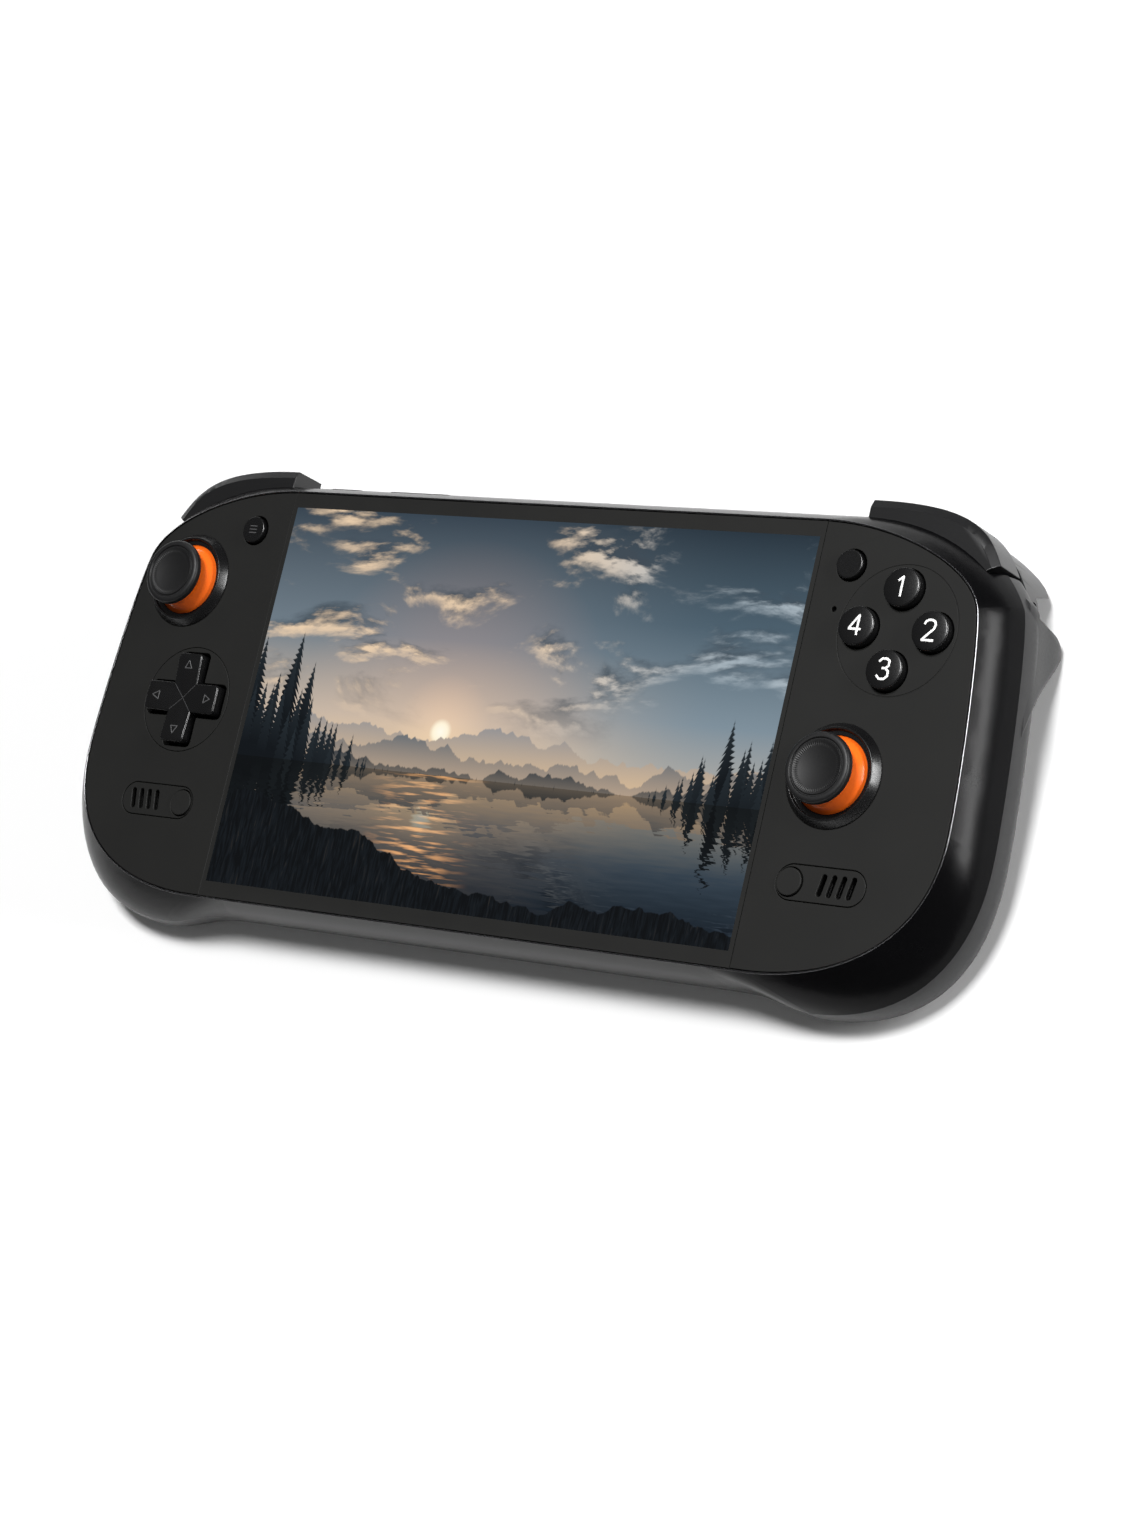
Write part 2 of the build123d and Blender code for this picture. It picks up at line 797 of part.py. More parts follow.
def make_rear_shell():
    """Back half of the casing with its humps, palm swells, vents and screw seats."""
    outer = loft(body_sections(0, seam_depth, back_depth, back_depth))
    inner = loft(body_sections(wall, seam_depth - inside_gap / 3, floor_depth, floor_depth))
    right_hump = hump(0)
    right_palm = palm(0)
    for piece in (right_hump, right_palm):
        outer += piece
        outer += flipped(piece)
    hollow = hump(wall) - trigger_room(shoulder_wall)
    for piece in (hollow, flipped(hollow)):
        inner += piece
    for side in (bumper_room(shoulder_wall), trigger_room(shoulder_wall)):
        inner -= side
        inner -= flipped(side)
    shell = outer - inner
    for side in (bumper_room(0), trigger_room(0)):
        shell -= side
        shell -= flipped(side)
    shell -= slab(Rectangle(face_half_width * 3, face_half_width * 3), 0, seam_depth)
    ear = on_trigger_axis(trigger_boss, ear_start, ear_width)
    foot_v = -trigger_boss - trigger_gap - shoulder_wall / 2
    ear_points = [
        (foot_v, trigger_axis_depth - trigger_boss), (0, trigger_axis_depth - trigger_boss),
        (0, trigger_axis_depth + trigger_boss), (foot_v, trigger_axis_depth + trigger_boss),
    ]
    ear += along_trigger(ear_points, ear_start, ear_width)
    pin_hole = on_trigger_axis(pin_radius, trigger_pin_start - cut_overrun, pin_length + cut_overrun * 4)
    shell += ear
    shell += flipped(ear)
    shell -= pin_hole
    shell -= flipped(pin_hole)
    for x, y in post_places:
        shell += rod(x, y, post_radius + screw_sink, screw_seat_depth, floor_depth + inside_gap)
        shell -= rod(x, y, screw_radius, seam_depth, back_depth + cut_overrun)
        head_room = screw_head_radius + screw_sink / 3
        shell -= rod(x, y, head_room, screw_seat_depth + screw_head_height, palm_depth)
    middle = (vent_count - 1) / 2
    for index in range(vent_count):
        x = fan_x + (index - middle) * vent_pitch
        flat = Pos(x, fan_y) * SlotOverall(vent_length, vent_width, rotation=90)
        shell -= slab(flat, floor_depth - cut_overrun, back_depth + cut_overrun)
    shell -= casing_cuts()
    return shell


def make_face_panels():
    """The two charcoal plates beside the screen, with every opening in them."""
    plate = slab(outline(0, edge_gap), 0, panel_thickness)
    reach = face_half_width + cut_overrun
    edge = glass_half + panel_gap
    left = plate & block(-reach, -edge, -reach, reach, -cut_overrun, panel_thickness + cut_overrun)
    right = plate & block(edge, reach, -reach, reach, -cut_overrun, panel_thickness + cut_overrun)
    through = panel_thickness + cut_overrun
    panels = {"left": left, "right": right}
    for side, (x, y) in sticks.items():
        panels[side] -= rod(x, y, ring_spigot_radius + panel_gap, -cut_overrun, through)
    for side, (x, y) in menus.items():
        panels[side] -= rod(x, y, menu_hole, -cut_overrun, through)
    for side, (x, y, _, _) in pills.items():
        panels[side] -= slab(pill(x, y, pill_gap), -cut_overrun, through)
    panels["left"] -= rod(pad_x, pad_y, pad_disc_radius + pill_gap / 2, -cut_overrun, through)
    for x, y in four_places().values():
        panels["right"] -= rod(x, y, face_hole, -cut_overrun, through)
    ring = Circle(face_circle_radius) - Circle(face_circle_radius - face_circle_line)
    panels["right"] -= slab(Pos(face_pad_x, face_pad_y) * ring, 0, face_circle_depth)
    panels["right"] -= rod(light_x, light_y, light_radius, -cut_overrun, through)
    for side, panel in panels.items():
        pieces[side + "_face_panel"] = panel


def make_screen():
    """Cover glass, display panel and the metal frame behind them."""
    plate = slab(outline(0, edge_gap), 0, panel_thickness)
    tall = face_top + cut_overrun
    pieces["cover_glass"] = plate & block(-glass_half, glass_half, -tall, tall, 0, panel_thickness)
    half_x = screen_width / 2 + display_margin
    half_y = screen_height / 2 + display_margin
    pieces["display_panel"] = block(-half_x, half_x, -half_y, half_y, panel_thickness, display_back)
    frame_x = half_x + frame_margin_x
    frame = block(-frame_x, frame_x, -half_y, half_y, display_back, frame_back)
    for x, y in post_places:
        frame -= rod(x, y, post_radius + inside_gap, display_back - cut_overrun, frame_back + cut_overrun)
    for x, y in sticks.values():
        frame -= rod(x, y, dome_radius + inside_gap * 2, 0, frame_back + cut_overrun)
    frame -= rod(pad_x, pad_y, pad_flange_radius + inside_gap * 2, 0, frame_back + cut_overrun)
    for x, y in menus.values():
        frame -= rod(x, y, menu_hole + flange_reach + inside_gap, 0, frame_back + cut_overrun)
    for _, y, button_x, _ in pills.values():
        frame -= rod(button_x, y, pill_hole + flange_reach + inside_gap, 0, frame_back + cut_overrun)
    inset = post_radius
    for sign in (-1, 1):
        for y in (mainboard_low_y + inset, mainboard_high_y - inset):
            x = sign * (mainboard_half_width - inset)
            frame += rod(x, y, inset, frame_back - inside_gap, mainboard_front)
    pieces["mid_frame"] = frame


def make_stick(side, x, y):
    """One thumbstick: ring, dome, cap on its shaft, and the sprung module with its gimbal."""
    pivot = -stick_pivot_depth
    place = Pos(x, y, pivot)
    ball_clear = Sphere(dome_radius + dome_play)
    base = stick_pivot_depth
    ring = turned(
        (0, base), (ring_base_radius, base), (ring_top_radius, base + ring_height),
        (ring_step_radius, base + ring_height), (ring_step_radius, base + ring_step_height),
        (0, base + ring_step_height),
    )
    low = (Align.CENTER, Align.CENTER, Align.MIN)
    spigot = Pos(0, 0, base - panel_thickness) * Cylinder(ring_spigot_radius, panel_thickness, align=low)
    pieces[side + "_stick_ring"] = place * ((ring + spigot) - ball_clear)

    dome = Sphere(dome_radius) - Sphere(dome_radius - dome_wall)
    edge_height = dome_radius * math.cos(math.radians(dome_edge_angle))
    across = 2 * (dome_radius + dome_play)
    above = Pos(0, 0, edge_height) * Box(across, across, dome_radius, align=low)
    dome = dome & above
    dome -= Cylinder(neck_radius, dome_radius * 4)
    pieces[side + "_stick_dome"] = place * dome

    bottom = base + cap_bottom
    top = base + cap_top
    cap = turned(
        (0, bottom), (cap_radius, bottom), (cap_radius, top), (0, top),
    )
    cap = fillet(cap.edges().filter_by(GeomType.CIRCLE), cap_edge)
    dish_radius = (cap_ring_radius ** 2 + cap_dish ** 2) / (2 * cap_dish)
    cap -= Pos(0, 0, top - cap_dish + dish_radius) * Sphere(dish_radius)
    neck_foot = dome_radius - dome_wall * 3
    cap += Pos(0, 0, neck_foot) * Cylinder(neck_radius, bottom - neck_foot + cap_edge, align=low)
    shaft_foot = -arm_radius - cap_edge
    cap += Pos(0, 0, shaft_foot) * Cylinder(shaft_radius, neck_foot - shaft_foot + cap_edge, align=low)
    pieces[side + "_stick_cap"] = place * cap

    floor = module_top - module_height
    body = Pos(0, 0, floor) * Box(2 * module_half, 2 * module_half, module_height, align=low)
    room = module_half - module_wall
    body -= Pos(0, 0, floor + module_wall) * Box(2 * room, 2 * room, module_height, align=low)
    body -= Rot(0, 90, 0) * Cylinder(trunnion_radius + pin_play, 4 * module_half)
    ears_top = stick_pivot_depth - board_back
    high = (Align.CENTER, Align.CENTER, Align.MAX)
    ears = Box(2 * (module_half + ear_reach), 2 * module_half, module_wall, align=high)
    ears -= Box(2 * module_half - module_wall, 2 * module_half - module_wall, 4 * module_wall)
    body += Pos(0, 0, ears_top) * ears
    pieces[side + "_stick_module"] = place * body

    yoke = Box(2 * yoke_half, 2 * yoke_half, yoke_thickness)
    yoke -= Box(2 * (yoke_half - yoke_bar), 2 * (yoke_half - yoke_bar), yoke_thickness * 2)
    trunnions = Rot(0, 90, 0) * Cylinder(trunnion_radius, 2 * module_half)
    trunnions -= Box(2 * (yoke_half - yoke_bar), yoke_half, yoke_half)
    yoke += trunnions
    yoke -= Rot(90, 0, 0) * Cylinder(trunnion_radius + pin_play, 4 * yoke_half)
    pieces[side + "_stick_yoke"] = place * yoke

    arm = Sphere(arm_radius) + Rot(90, 0, 0) * Cylinder(trunnion_radius, 2 * yoke_half)
    arm -= Cylinder(shaft_radius + pin_play, 4 * arm_radius)
    pieces[side + "_stick_arm"] = place * arm


def pad_cross(grow):
    """Flat cross of the D-pad with rounded arm ends."""
    reach = pad_arm_reach + grow
    width = pad_arm_width + 2 * grow
    arm = RectangleRounded(2 * reach, width, pad_corner + grow / 2)
    return arm + Rot(0, 0, 90) * arm


def pad_marks():
    """Four small outlined triangles, one near each arm's end."""
    half = pad_mark_size / 2
    outer = make_face(Polyline((-half, -half), (half, -half), (0, half), close=True))
    inner = offset(outer, amount=-pad_mark_line)
    mark = outer - inner
    marks = []
    for turn in range(4):
        marks.append(Rot(0, 0, 90 * turn) * Pos(0, pad_arm_reach - pad_mark_in) * mark)
    return marks


def make_pad():
    """D-pad: fixed disc, rocking cross on its pivot ball, rubber sheet below."""
    place = Pos(pad_x, pad_y, 0)
    disc = rod(0, 0, pad_disc_radius, 0, panel_thickness)
    disc += rod(0, 0, pad_disc_lip, panel_thickness - inside_gap, pad_disc_depth)
    disc -= slab(pad_cross(pad_well_gap), -cut_overrun, pad_disc_depth + cut_overrun)
    pieces["dpad_disc"] = place * disc

    ball_depth = board_depth - pad_ball_radius
    cross = slab(pad_cross(0), -pad_height, pad_flange_depth)
    cross = chamfer(cross.faces().sort_by(Axis.Z)[-1].edges(), pad_edge)
    # The upper face falls towards the middle on four slopes.
    dent_half = pad_arm_reach - pad_mark_size
    hollow = loft([
        Pos(0, 0, pad_height) * Rectangle(2 * dent_half, 2 * dent_half, rotation=0),
        Pos(0, 0, pad_height - pad_slope) * Rectangle(pad_mark_line, pad_mark_line),
    ])
    cross -= hollow
    for mark in pad_marks():
        cross -= slab(mark, -pad_height, pad_mark_depth - pad_height)
    cross += rod(0, 0, pad_flange_radius, pad_flange_depth, pad_flange_depth + pad_flange_thickness)
    cross += rod(0, 0, pad_boss_radius, pad_flange_depth, ball_depth)
    cross -= Pos(0, 0, -ball_depth) * Sphere(pad_ball_radius + pad_ball_play)
    pieces["dpad_cross"] = place * cross
    pieces["dpad_pivot"] = place * Pos(0, 0, -ball_depth) * Sphere(pad_ball_radius)

    sheet = rod(0, 0, pad_flange_radius, board_depth - rubber_sheet, board_depth)
    sheet -= rod(0, 0, pad_boss_radius + inside_gap, 0, board_depth + cut_overrun)
    for turn in range(4):
        angle = math.radians(90 * turn)
        x = pad_dome_reach * math.cos(angle)
        y = pad_dome_reach * math.sin(angle)
        sheet += dome_of_rubber(x, y)
    pieces["dpad_rubber"] = place * sheet


def dome_of_rubber(x, y):
    """One hollow rubber dome on a board."""
    top = board_depth - rubber_dome_height
    half = rubber_dome_radius / 2
    dome = Pos(x, y, -board_depth) * Cone(
        rubber_dome_radius, half, rubber_dome_height, align=(Align.CENTER, Align.CENTER, Align.MIN),
    )
    return dome - rod(x, y, half - rubber_sheet, top + rubber_sheet, board_depth)


def round_button(radius, height, hole, bottom, crown, edge):
    """A round key: crowned cap, flange under the deck and a stem to its switch."""
    flange_top = deck_back + flange_gap
    flange_back = flange_top + flange_thickness
    cap = rod(0, 0, radius, -height, flange_top)
    cap = fillet(cap.edges().filter_by(GeomType.CIRCLE).sort_by(Axis.Z)[-1], edge)
    if crown > 0:
        ball = (radius ** 2 + crown ** 2) / (2 * crown)
        dome = Pos(0, 0, height - ball) * Sphere(ball)
        cap = cap & (dome + rod(0, 0, radius + cut_overrun, edge + crown - height, flange_back))
    cap += rod(0, 0, hole + flange_reach, flange_top, flange_back)
    if bottom > flange_back:
        cap += rod(0, 0, stem_radius, flange_back, bottom)
    return cap


def make_buttons():
    """Face buttons, menu buttons, pill grilles and the small buttons in them."""
    flange_back = deck_back + flange_gap + flange_thickness
    key = round_button(face_cap_radius, face_cap_height, face_hole - flange_reach / 4, flange_back,
                       face_cap_crown, face_cap_edge)
    for name, (x, y) in four_places().items():
        pieces["face_button_" + name] = Pos(x, y, 0) * key
    reach = face_pad_reach + rubber_dome_radius * 2
    sheet = slab(Pos(face_pad_x, face_pad_y) * Circle(reach), board_depth - rubber_sheet, board_depth)
    for x, y in four_places().values():
        sheet += dome_of_rubber(x, y)
    pieces["face_button_rubber"] = sheet
    stem_end = board_depth - switch_height
    menu_end = stem_end - menu_travel - panel_gap
    key = round_button(menu_cap_radius, menu_cap_height, menu_hole, menu_end, 0, face_cap_edge)
    for side, (x, y) in menus.items():
        pieces[side + "_menu_button"] = Pos(x, y, 0) * key
    pill_end = stem_end - pill_travel - panel_gap
    key = round_button(pill_button_radius, pill_button_height, pill_hole, pill_end, 0, pill_gap)
    for side, (x, y, button_x, away) in pills.items():
        pieces[side + "_pill_button"] = Pos(button_x, y, 0) * key
        grille = slab(pill(x, y, 0), 0, panel_thickness)
        grille -= rod(button_x, y, pill_hole, -cut_overrun, panel_thickness + cut_overrun)
        middle = (slot_count - 1) / 2
        for index in range(slot_count):
            slot_x = x + away * slot_middle_offset + (index - middle) * slot_pitch
            slot = Pos(slot_x, y) * SlotOverall(slot_length, slot_width, rotation=90 - away * slot_slant)
            grille -= slab(slot, -cut_overrun, panel_thickness + cut_overrun)
        pieces[side + "_speaker_grille"] = grille


def make_side_boards():
    """The two boards that carry the small switches, on the posts behind the deck."""
    for side, sign in (("left", -1), ("right", 1)):
        corner = [
            (board_inner_x, board_low_y), (board_outer_x, board_low_y),
            (board_outer_x, board_high_y - board_corner_y), (board_outer_x - board_corner_x, board_high_y),
            (board_inner_x, board_high_y),
        ]
        flat = make_face(Polyline(*[(sign * x, y) for x, y in corner], close=True))
        menu_x, menu_y = menus[side]
        _, pill_y, button_x, _ = pills[side]
        tab = pill_button_radius
        board = slab(flat, board_depth, board_back)
        tabs = ((menu_x, board_high_y - tab, menu_y + tab), (button_x, pill_y - tab, board_low_y + tab))
        for x, y0, y1 in tabs:
            board += block(x - tab, x + tab, y0, y1, board_depth, board_back)
        for x, y in ((menu_x, menu_y), (button_x, pill_y)):
            board += block(
                x - switch_half, x + switch_half, y - switch_half, y + switch_half,
                board_depth - switch_height, board_depth + inside_gap,
            )
        x, y = sticks[side]
        half = module_half + inside_gap / 2
        board -= block(x - half, x + half, y - half, y + half, 0, board_back + cut_overrun)
        for x, y in post_places:
            board -= rod(x, y, post_radius + inside_gap, 0, board_back + cut_overrun)
        pieces[side + "_button_board"] = board


def make_bumper():
    """Hollow bumper with the lug that turns on its stud."""
    bumper = slab(bumper_plan(0, 0, 0), bumper_front_depth, bumper_back_depth)
    outer_edge = bumper.faces().sort_by(Axis.Z)[-1].edges().sort_by(Axis.Y)[-1]
    bumper = chamfer(outer_edge, bumper_chamfer, bumper_chamfer * 2)
    hollow_front = bumper_front_depth + bumper_skin
    hollow_back = bumper_back_depth - bumper_skin
    bumper -= slab(bumper_plan(-bumper_skin, bumper_skin, -bumper_skin), hollow_front, hollow_back)
    bumper += rod(bumper_pin_x, bumper_pin_y, bumper_lug, bumper_front_depth, bumper_back_depth)
    reach = bumper_top_y - bumper_thickness + bumper_skin
    bumper += block(
        bumper_pin_x - bumper_lug, bumper_pin_x + bumper_lug, bumper_pin_y, reach,
        bumper_front_depth, bumper_back_depth,
    )
    pin_room = bumper_back_depth + cut_overrun
    return bumper - rod(bumper_pin_x, bumper_pin_y, pin_radius + pin_play, 0, pin_room)


def trigger_plan(inset):
    """The trigger seen from the front, less an inset at its outer curve and inner end."""
    curve = shoulder_curve(
        trigger_inner_x, trigger_top_y, trigger_top_handle,
        trigger_end_x, trigger_end_y, trigger_end_handle, trigger_end_angle, -inset, -inset,
    )
    low_inner = Vector(trigger_inner_x + inset, trigger_axis_y - trigger_boss * 2)
    low_outer = Vector(trigger_end_x - trigger_boss - inset, trigger_end_y - trigger_boss * 3)
    sides = [Line(curve @ 1, low_outer), Line(low_outer, low_inner), Line(low_inner, curve @ 0)]
    return Face(Wire([curve, *sides]))


def make_trigger():
    """Hollow trigger: its plan curve met by its side profile, with slots for ear and spring."""
    high = trigger_top_y - trigger_axis_y + trigger_boss * 2
    start = trigger_inner_x - trigger_axis_x - cut_overrun
    length = trigger_end_x - trigger_inner_x + 2 * cut_overrun + trigger_boss
    middle_depth = (trigger_front_depth + trigger_back_depth) / 2
    profile = [
        (-trigger_boss, trigger_axis_depth - trigger_boss / 2),
        (-trigger_boss / 2, trigger_front_depth + trigger_boss / 4),
        (trigger_boss, trigger_front_depth),
        (high, trigger_front_depth),
        (high - trigger_skin, middle_depth - trigger_skin),
        (high - trigger_skin * 2, middle_depth + trigger_skin),
        (trigger_rear_v + trigger_lip, trigger_back_depth - trigger_lip / 3),
        (trigger_rear_v + trigger_lip / 3, trigger_back_depth),
        (trigger_rear_v - trigger_lip / 2, trigger_back_depth - trigger_lip / 3),
        (trigger_boss, trigger_axis_depth + trigger_boss),
        (-trigger_boss, trigger_axis_depth + trigger_boss / 2),
    ]
    trigger = slab(trigger_plan(0), trigger_front_depth, trigger_back_depth)
    trigger = trigger & along_trigger(profile, start, length)
    hollow_profile = [
        (trigger_boss + trigger_skin / 2, trigger_front_depth + trigger_skin),
        (high, trigger_front_depth + trigger_skin),
        (high - trigger_skin, middle_depth - trigger_skin),
        (high - trigger_skin * 3, middle_depth + trigger_skin),
        (trigger_rear_v + trigger_lip / 3, trigger_back_depth - trigger_skin * 1.5),
        (trigger_rear_v - trigger_lip, trigger_back_depth - trigger_skin * 1.5),
        (trigger_boss - trigger_skin / 2, trigger_axis_depth + trigger_boss + trigger_skin / 2),
    ]
    hollow = slab(trigger_plan(trigger_skin), trigger_front_depth, trigger_back_depth)
    trigger -= hollow & along_trigger(hollow_profile, start, length)
    slot = [
        (-trigger_boss * 2, 0), (trigger_boss * 1.5, 0), (trigger_boss * 1.5, trigger_back_depth),
        (-trigger_boss * 2, trigger_back_depth),
    ]
    spring_start = ear_start - trigger_gap - ear_width
    trigger -= along_trigger(slot, spring_start, ear_width * 2 + 2 * trigger_gap)
    trigger -= on_trigger_axis(pin_radius + pin_play, start - pin_length, pin_length * 3)
    return trigger


def make_shoulders():
    """Bumpers, triggers, their pins and the triggers' springs, on both sides."""
    stud = rod(bumper_pin_x, bumper_pin_y, pin_radius, deck_back, bumper_back_depth)
    trigger_pin = on_trigger_axis(pin_radius, trigger_pin_start, pin_length - trigger_pin_start)
    spring_start = ear_start - ear_width
    spring = on_trigger_axis(spring_radius, spring_start, ear_width - trigger_gap / 2)
    spring -= on_trigger_axis(pin_radius + pin_play, spring_start - ear_width, ear_width * 3)
    named = {
        "bumper": [make_bumper()], "trigger": [make_trigger()], "trigger_spring": [spring],
        "shoulder_pins": [stud, trigger_pin],
    }
    for name, solids in named.items():
        pieces["right_" + name] = solids
        pieces["left_" + name] = [flipped(solid) for solid in solids]


def make_core():
    """Mainboard, storage card, battery, heat sink and fan."""
    board = block(-mainboard_half_width, mainboard_half_width, mainboard_low_y, mainboard_high_y,
                  mainboard_front, mainboard_back)
    board += block(mainboard_tab_x0, mainboard_tab_x1, mainboard_high_y - inside_gap, mainboard_tab_y,
                   mainboard_front, mainboard_back)
    chip_back = mainboard_back + chip_height
    board += block(chip_x - chip_half, chip_x + chip_half, chip_y - chip_half, chip_y + chip_half,
                   mainboard_back - inside_gap, chip_back)
    for x in (power_x, volume_x - volume_length / 3, volume_x + volume_length / 3):
        board += block(
            x - switch_half, x + switch_half, mainboard_high_y - switch_half, key_foot - key_travel - key_gap,
            mainboard_front, key_depth + switch_half,
        )
    pieces["mainboard"] = board

    lift = mainboard_back + storage_lift
    x0 = storage_x - storage_length / 2
    y0 = storage_y - storage_width / 2
    y1 = storage_y + storage_width / 2
    card = block(x0, x0 + storage_length, y0, y1, lift, lift + storage_thickness)
    card += block(x0, x0 + storage_width / 4, y0, y1, mainboard_back, lift + storage_thickness * 2)
    pieces["storage_card"] = card

    cell = block(-battery_half_width, battery_half_width, battery_low_y, battery_high_y, frame_back,
                 frame_back + battery_thickness)
    pieces["battery"] = fillet(cell.edges().filter_by(Axis.X), rim_land * 2)

    plate_back = chip_back + sink_plate
    sink = block(chip_x - sink_half, chip_x + sink_half, chip_y - sink_half, fin_y1, chip_back, plate_back)
    sink += block(fin_x0, fin_x1, fin_y0, fin_y1, chip_back, plate_back)
    step = (fin_x1 - fin_x0 - fin_thickness) / (fin_count - 1)
    for index in range(fin_count):
        x = fin_x0 + index * step
        sink += block(x, x + fin_thickness, fin_y0, fin_y1, chip_back, exhaust_back_depth)
    pieces["heat_sink"] = sink

    box = block(fan_x - fan_half, fan_x + fan_half, fan_y - fan_half, fan_y + fan_half, mainboard_back,
                mainboard_back + fan_height)
    inner = fan_half - fan_wall
    box -= block(
        fan_x - inner, fan_x + inner, fan_y - inner, fan_y + inner,
        mainboard_back + fan_wall, mainboard_back + fan_height - fan_wall,
    )
    box -= rod(fan_x, fan_y, fan_inlet_radius, mainboard_back + fan_height - cut_overrun,
               mainboard_back + fan_height + cut_overrun)
    box -= block(fan_x - fan_half - cut_overrun, fan_x - inner + cut_overrun, fan_y + fan_outlet_low,
                 fan_y + inner, mainboard_back + fan_wall, mainboard_back + fan_height - fan_wall)
    axle_end = mainboard_back + fan_height - fan_wall - fan_clearance
    box += rod(fan_x, fan_y, pin_radius, mainboard_back + fan_wall - inside_gap, axle_end)
    pieces["fan_housing"] = box

    hub_front = mainboard_back + fan_wall + fan_clearance
    rotor = rod(fan_x, fan_y, fan_hub_radius, hub_front, axle_end)
    half = fan_blade_thickness / 2
    blade = block(fan_hub_radius - fan_wall, fan_rotor_radius, -half, half, hub_front, axle_end)
    for index in range(fan_blade_count):
        rotor += Pos(fan_x, fan_y, 0) * Rot(0, 0, 360 / fan_blade_count * index) * blade
    rotor -= rod(fan_x, fan_y, pin_radius + pin_play, 0, back_depth)
    pieces["fan_rotor"] = rotor


def make_sound_and_motors():
    """Speakers behind the grilles and the rumble motors in the grips."""
    for side, (x, y, button_x, away) in pills.items():
        middle = x + away * slot_middle_offset
        box = block(middle - speaker_length / 2, middle + speaker_length / 2, y - speaker_width / 2,
                    y + speaker_width / 2, deck_back, deck_back + speaker_height)
        keep = rod(button_x, y, pill_hole + flange_reach + inside_gap, 0, back_depth)
        pieces[side + "_speaker"] = box - keep
    motor = rod(motor_x, motor_y, motor_radius, floor_depth - motor_height, floor_depth)
    pieces["right_rumble_motor"] = motor
    pieces["left_rumble_motor"] = flipped(motor)


def make_ports_and_keys():
    """USB-C socket, headphone jack, power button, volume rocker."""
    wall_line = face_top + rim_top * rim_growth(mainboard_back + port_height / 2) - edge_gap
    y0 = wall_line - port_length
    socket = RectangleRounded(port_width, port_height, port_height / 2 - inside_gap / 2)
    corner = port_height / 2 - port_wall - inside_gap / 2
    inner = RectangleRounded(port_width - 2 * port_wall, port_height - 2 * port_wall, corner)
    place = Pos(port_x, y0, -(mainboard_back + port_height / 2)) * Rot(-90, 0, 0)
    shell = extrude(socket, amount=port_length)
    shell -= Pos(0, 0, port_wall * 2) * extrude(inner, amount=port_length)
    tongue = RectangleRounded(port_width - port_height, port_tongue, port_tongue / 3)
    shell += extrude(tongue, amount=port_length - port_tongue)
    pieces["usb_port"] = place * shell
    jack = Circle(jack_barrel)
    start = wall_line - jack_length
    barrel = extrude(jack, amount=jack_length)
    barrel -= Pos(0, 0, jack_end) * extrude(Circle(jack_bore), amount=jack_length)
    pieces["headphone_jack"] = Pos(jack_x, start, -jack_depth) * Rot(-90, 0, 0) * barrel
    outer_line = face_top + rim_top * rim_growth(key_depth)
    keys = {"power_button": (power_x, power_length), "volume_rocker": (volume_x, volume_length)}
    for name, (x, length) in keys.items():
        key = top_key(x, length, 0, key_foot, outer_line + key_height)
        key += top_key(x, length, key_flange, key_foot, key_foot + key_flange)
        pieces[name] = key


def make_screws():
    """Six case screws that come in from the back."""
    seat = screw_seat_depth + screw_head_height
    screws = []
    for x, y in post_places:
        head = rod(x, y, screw_head_radius, seat, seat + screw_sink)
        screws.append(head + rod(x, y, screw_radius, seat - screw_length, seat))
    pieces["case_screws"] = screws


def make_all():
    """Every piece of the console, in the frame of its face."""
    pieces["front_housing"] = make_front_housing()
    pieces["rear_shell"] = make_rear_shell()
    make_face_panels()
    make_screen()
    for side, (x, y) in sticks.items():
        make_stick(side, x, y)
    make_pad()
    make_buttons()
    make_side_boards()
    make_shoulders()
    make_core()
    make_sound_and_motors()
    make_ports_and_keys()
    make_screws()


def lay_down():
    """Turn every piece into its resting pose, with the box of the whole at the origin."""
    tipped = {}
    for name, piece in pieces.items():
        solids = piece if isinstance(piece, list) else [piece]
        tipped[name] = [Pos(0, 0, rest_lift) * Rot(rest_tilt, 0, 0) * solid for solid in solids]
    tall = hump_crest_depth
    floor = Pos(0, 0, -tall) * Box(face_half_width * 3, face_half_width * 3, tall * 2)
    tipped["rear_shell"] = [solid - floor for solid in tipped["rear_shell"]]
    boxes = [solid.bounding_box() for solids in tipped.values() for solid in solids]
    middle_y = (min(box.min.Y for box in boxes) + max(box.max.Y for box in boxes)) / 2
    placed = {}
    for name, solids in tipped.items():
        moved = [Pos(0, -middle_y, 0) * solid for solid in solids]
        placed[name] = moved[0] if len(moved) == 1 else Compound(children=moved)
    return placed, middle_y


if __name__ == "__main__":
    os.makedirs("parts", exist_ok=True)
    make_all()
    placed, middle_y = lay_down()
    for name, piece in placed.items():
        export_step(piece, os.path.join("parts", name + ".step"))
    print("tilt", rest_tilt, "lift", rest_lift, "middle", middle_y, "pieces", len(placed))
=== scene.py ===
"""Looks of a handheld game console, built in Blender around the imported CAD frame.

Everything is worked out in the frame of the console's face, in millimetres: x to the right,
y up the screen, z out of the face. laid() then turns it into the pose on the table, in metres.
"""
import math

import bpy
import bmesh
import numpy as np
from mathutils import Matrix, Vector
from mathutils.geometry import tessellate_polygon


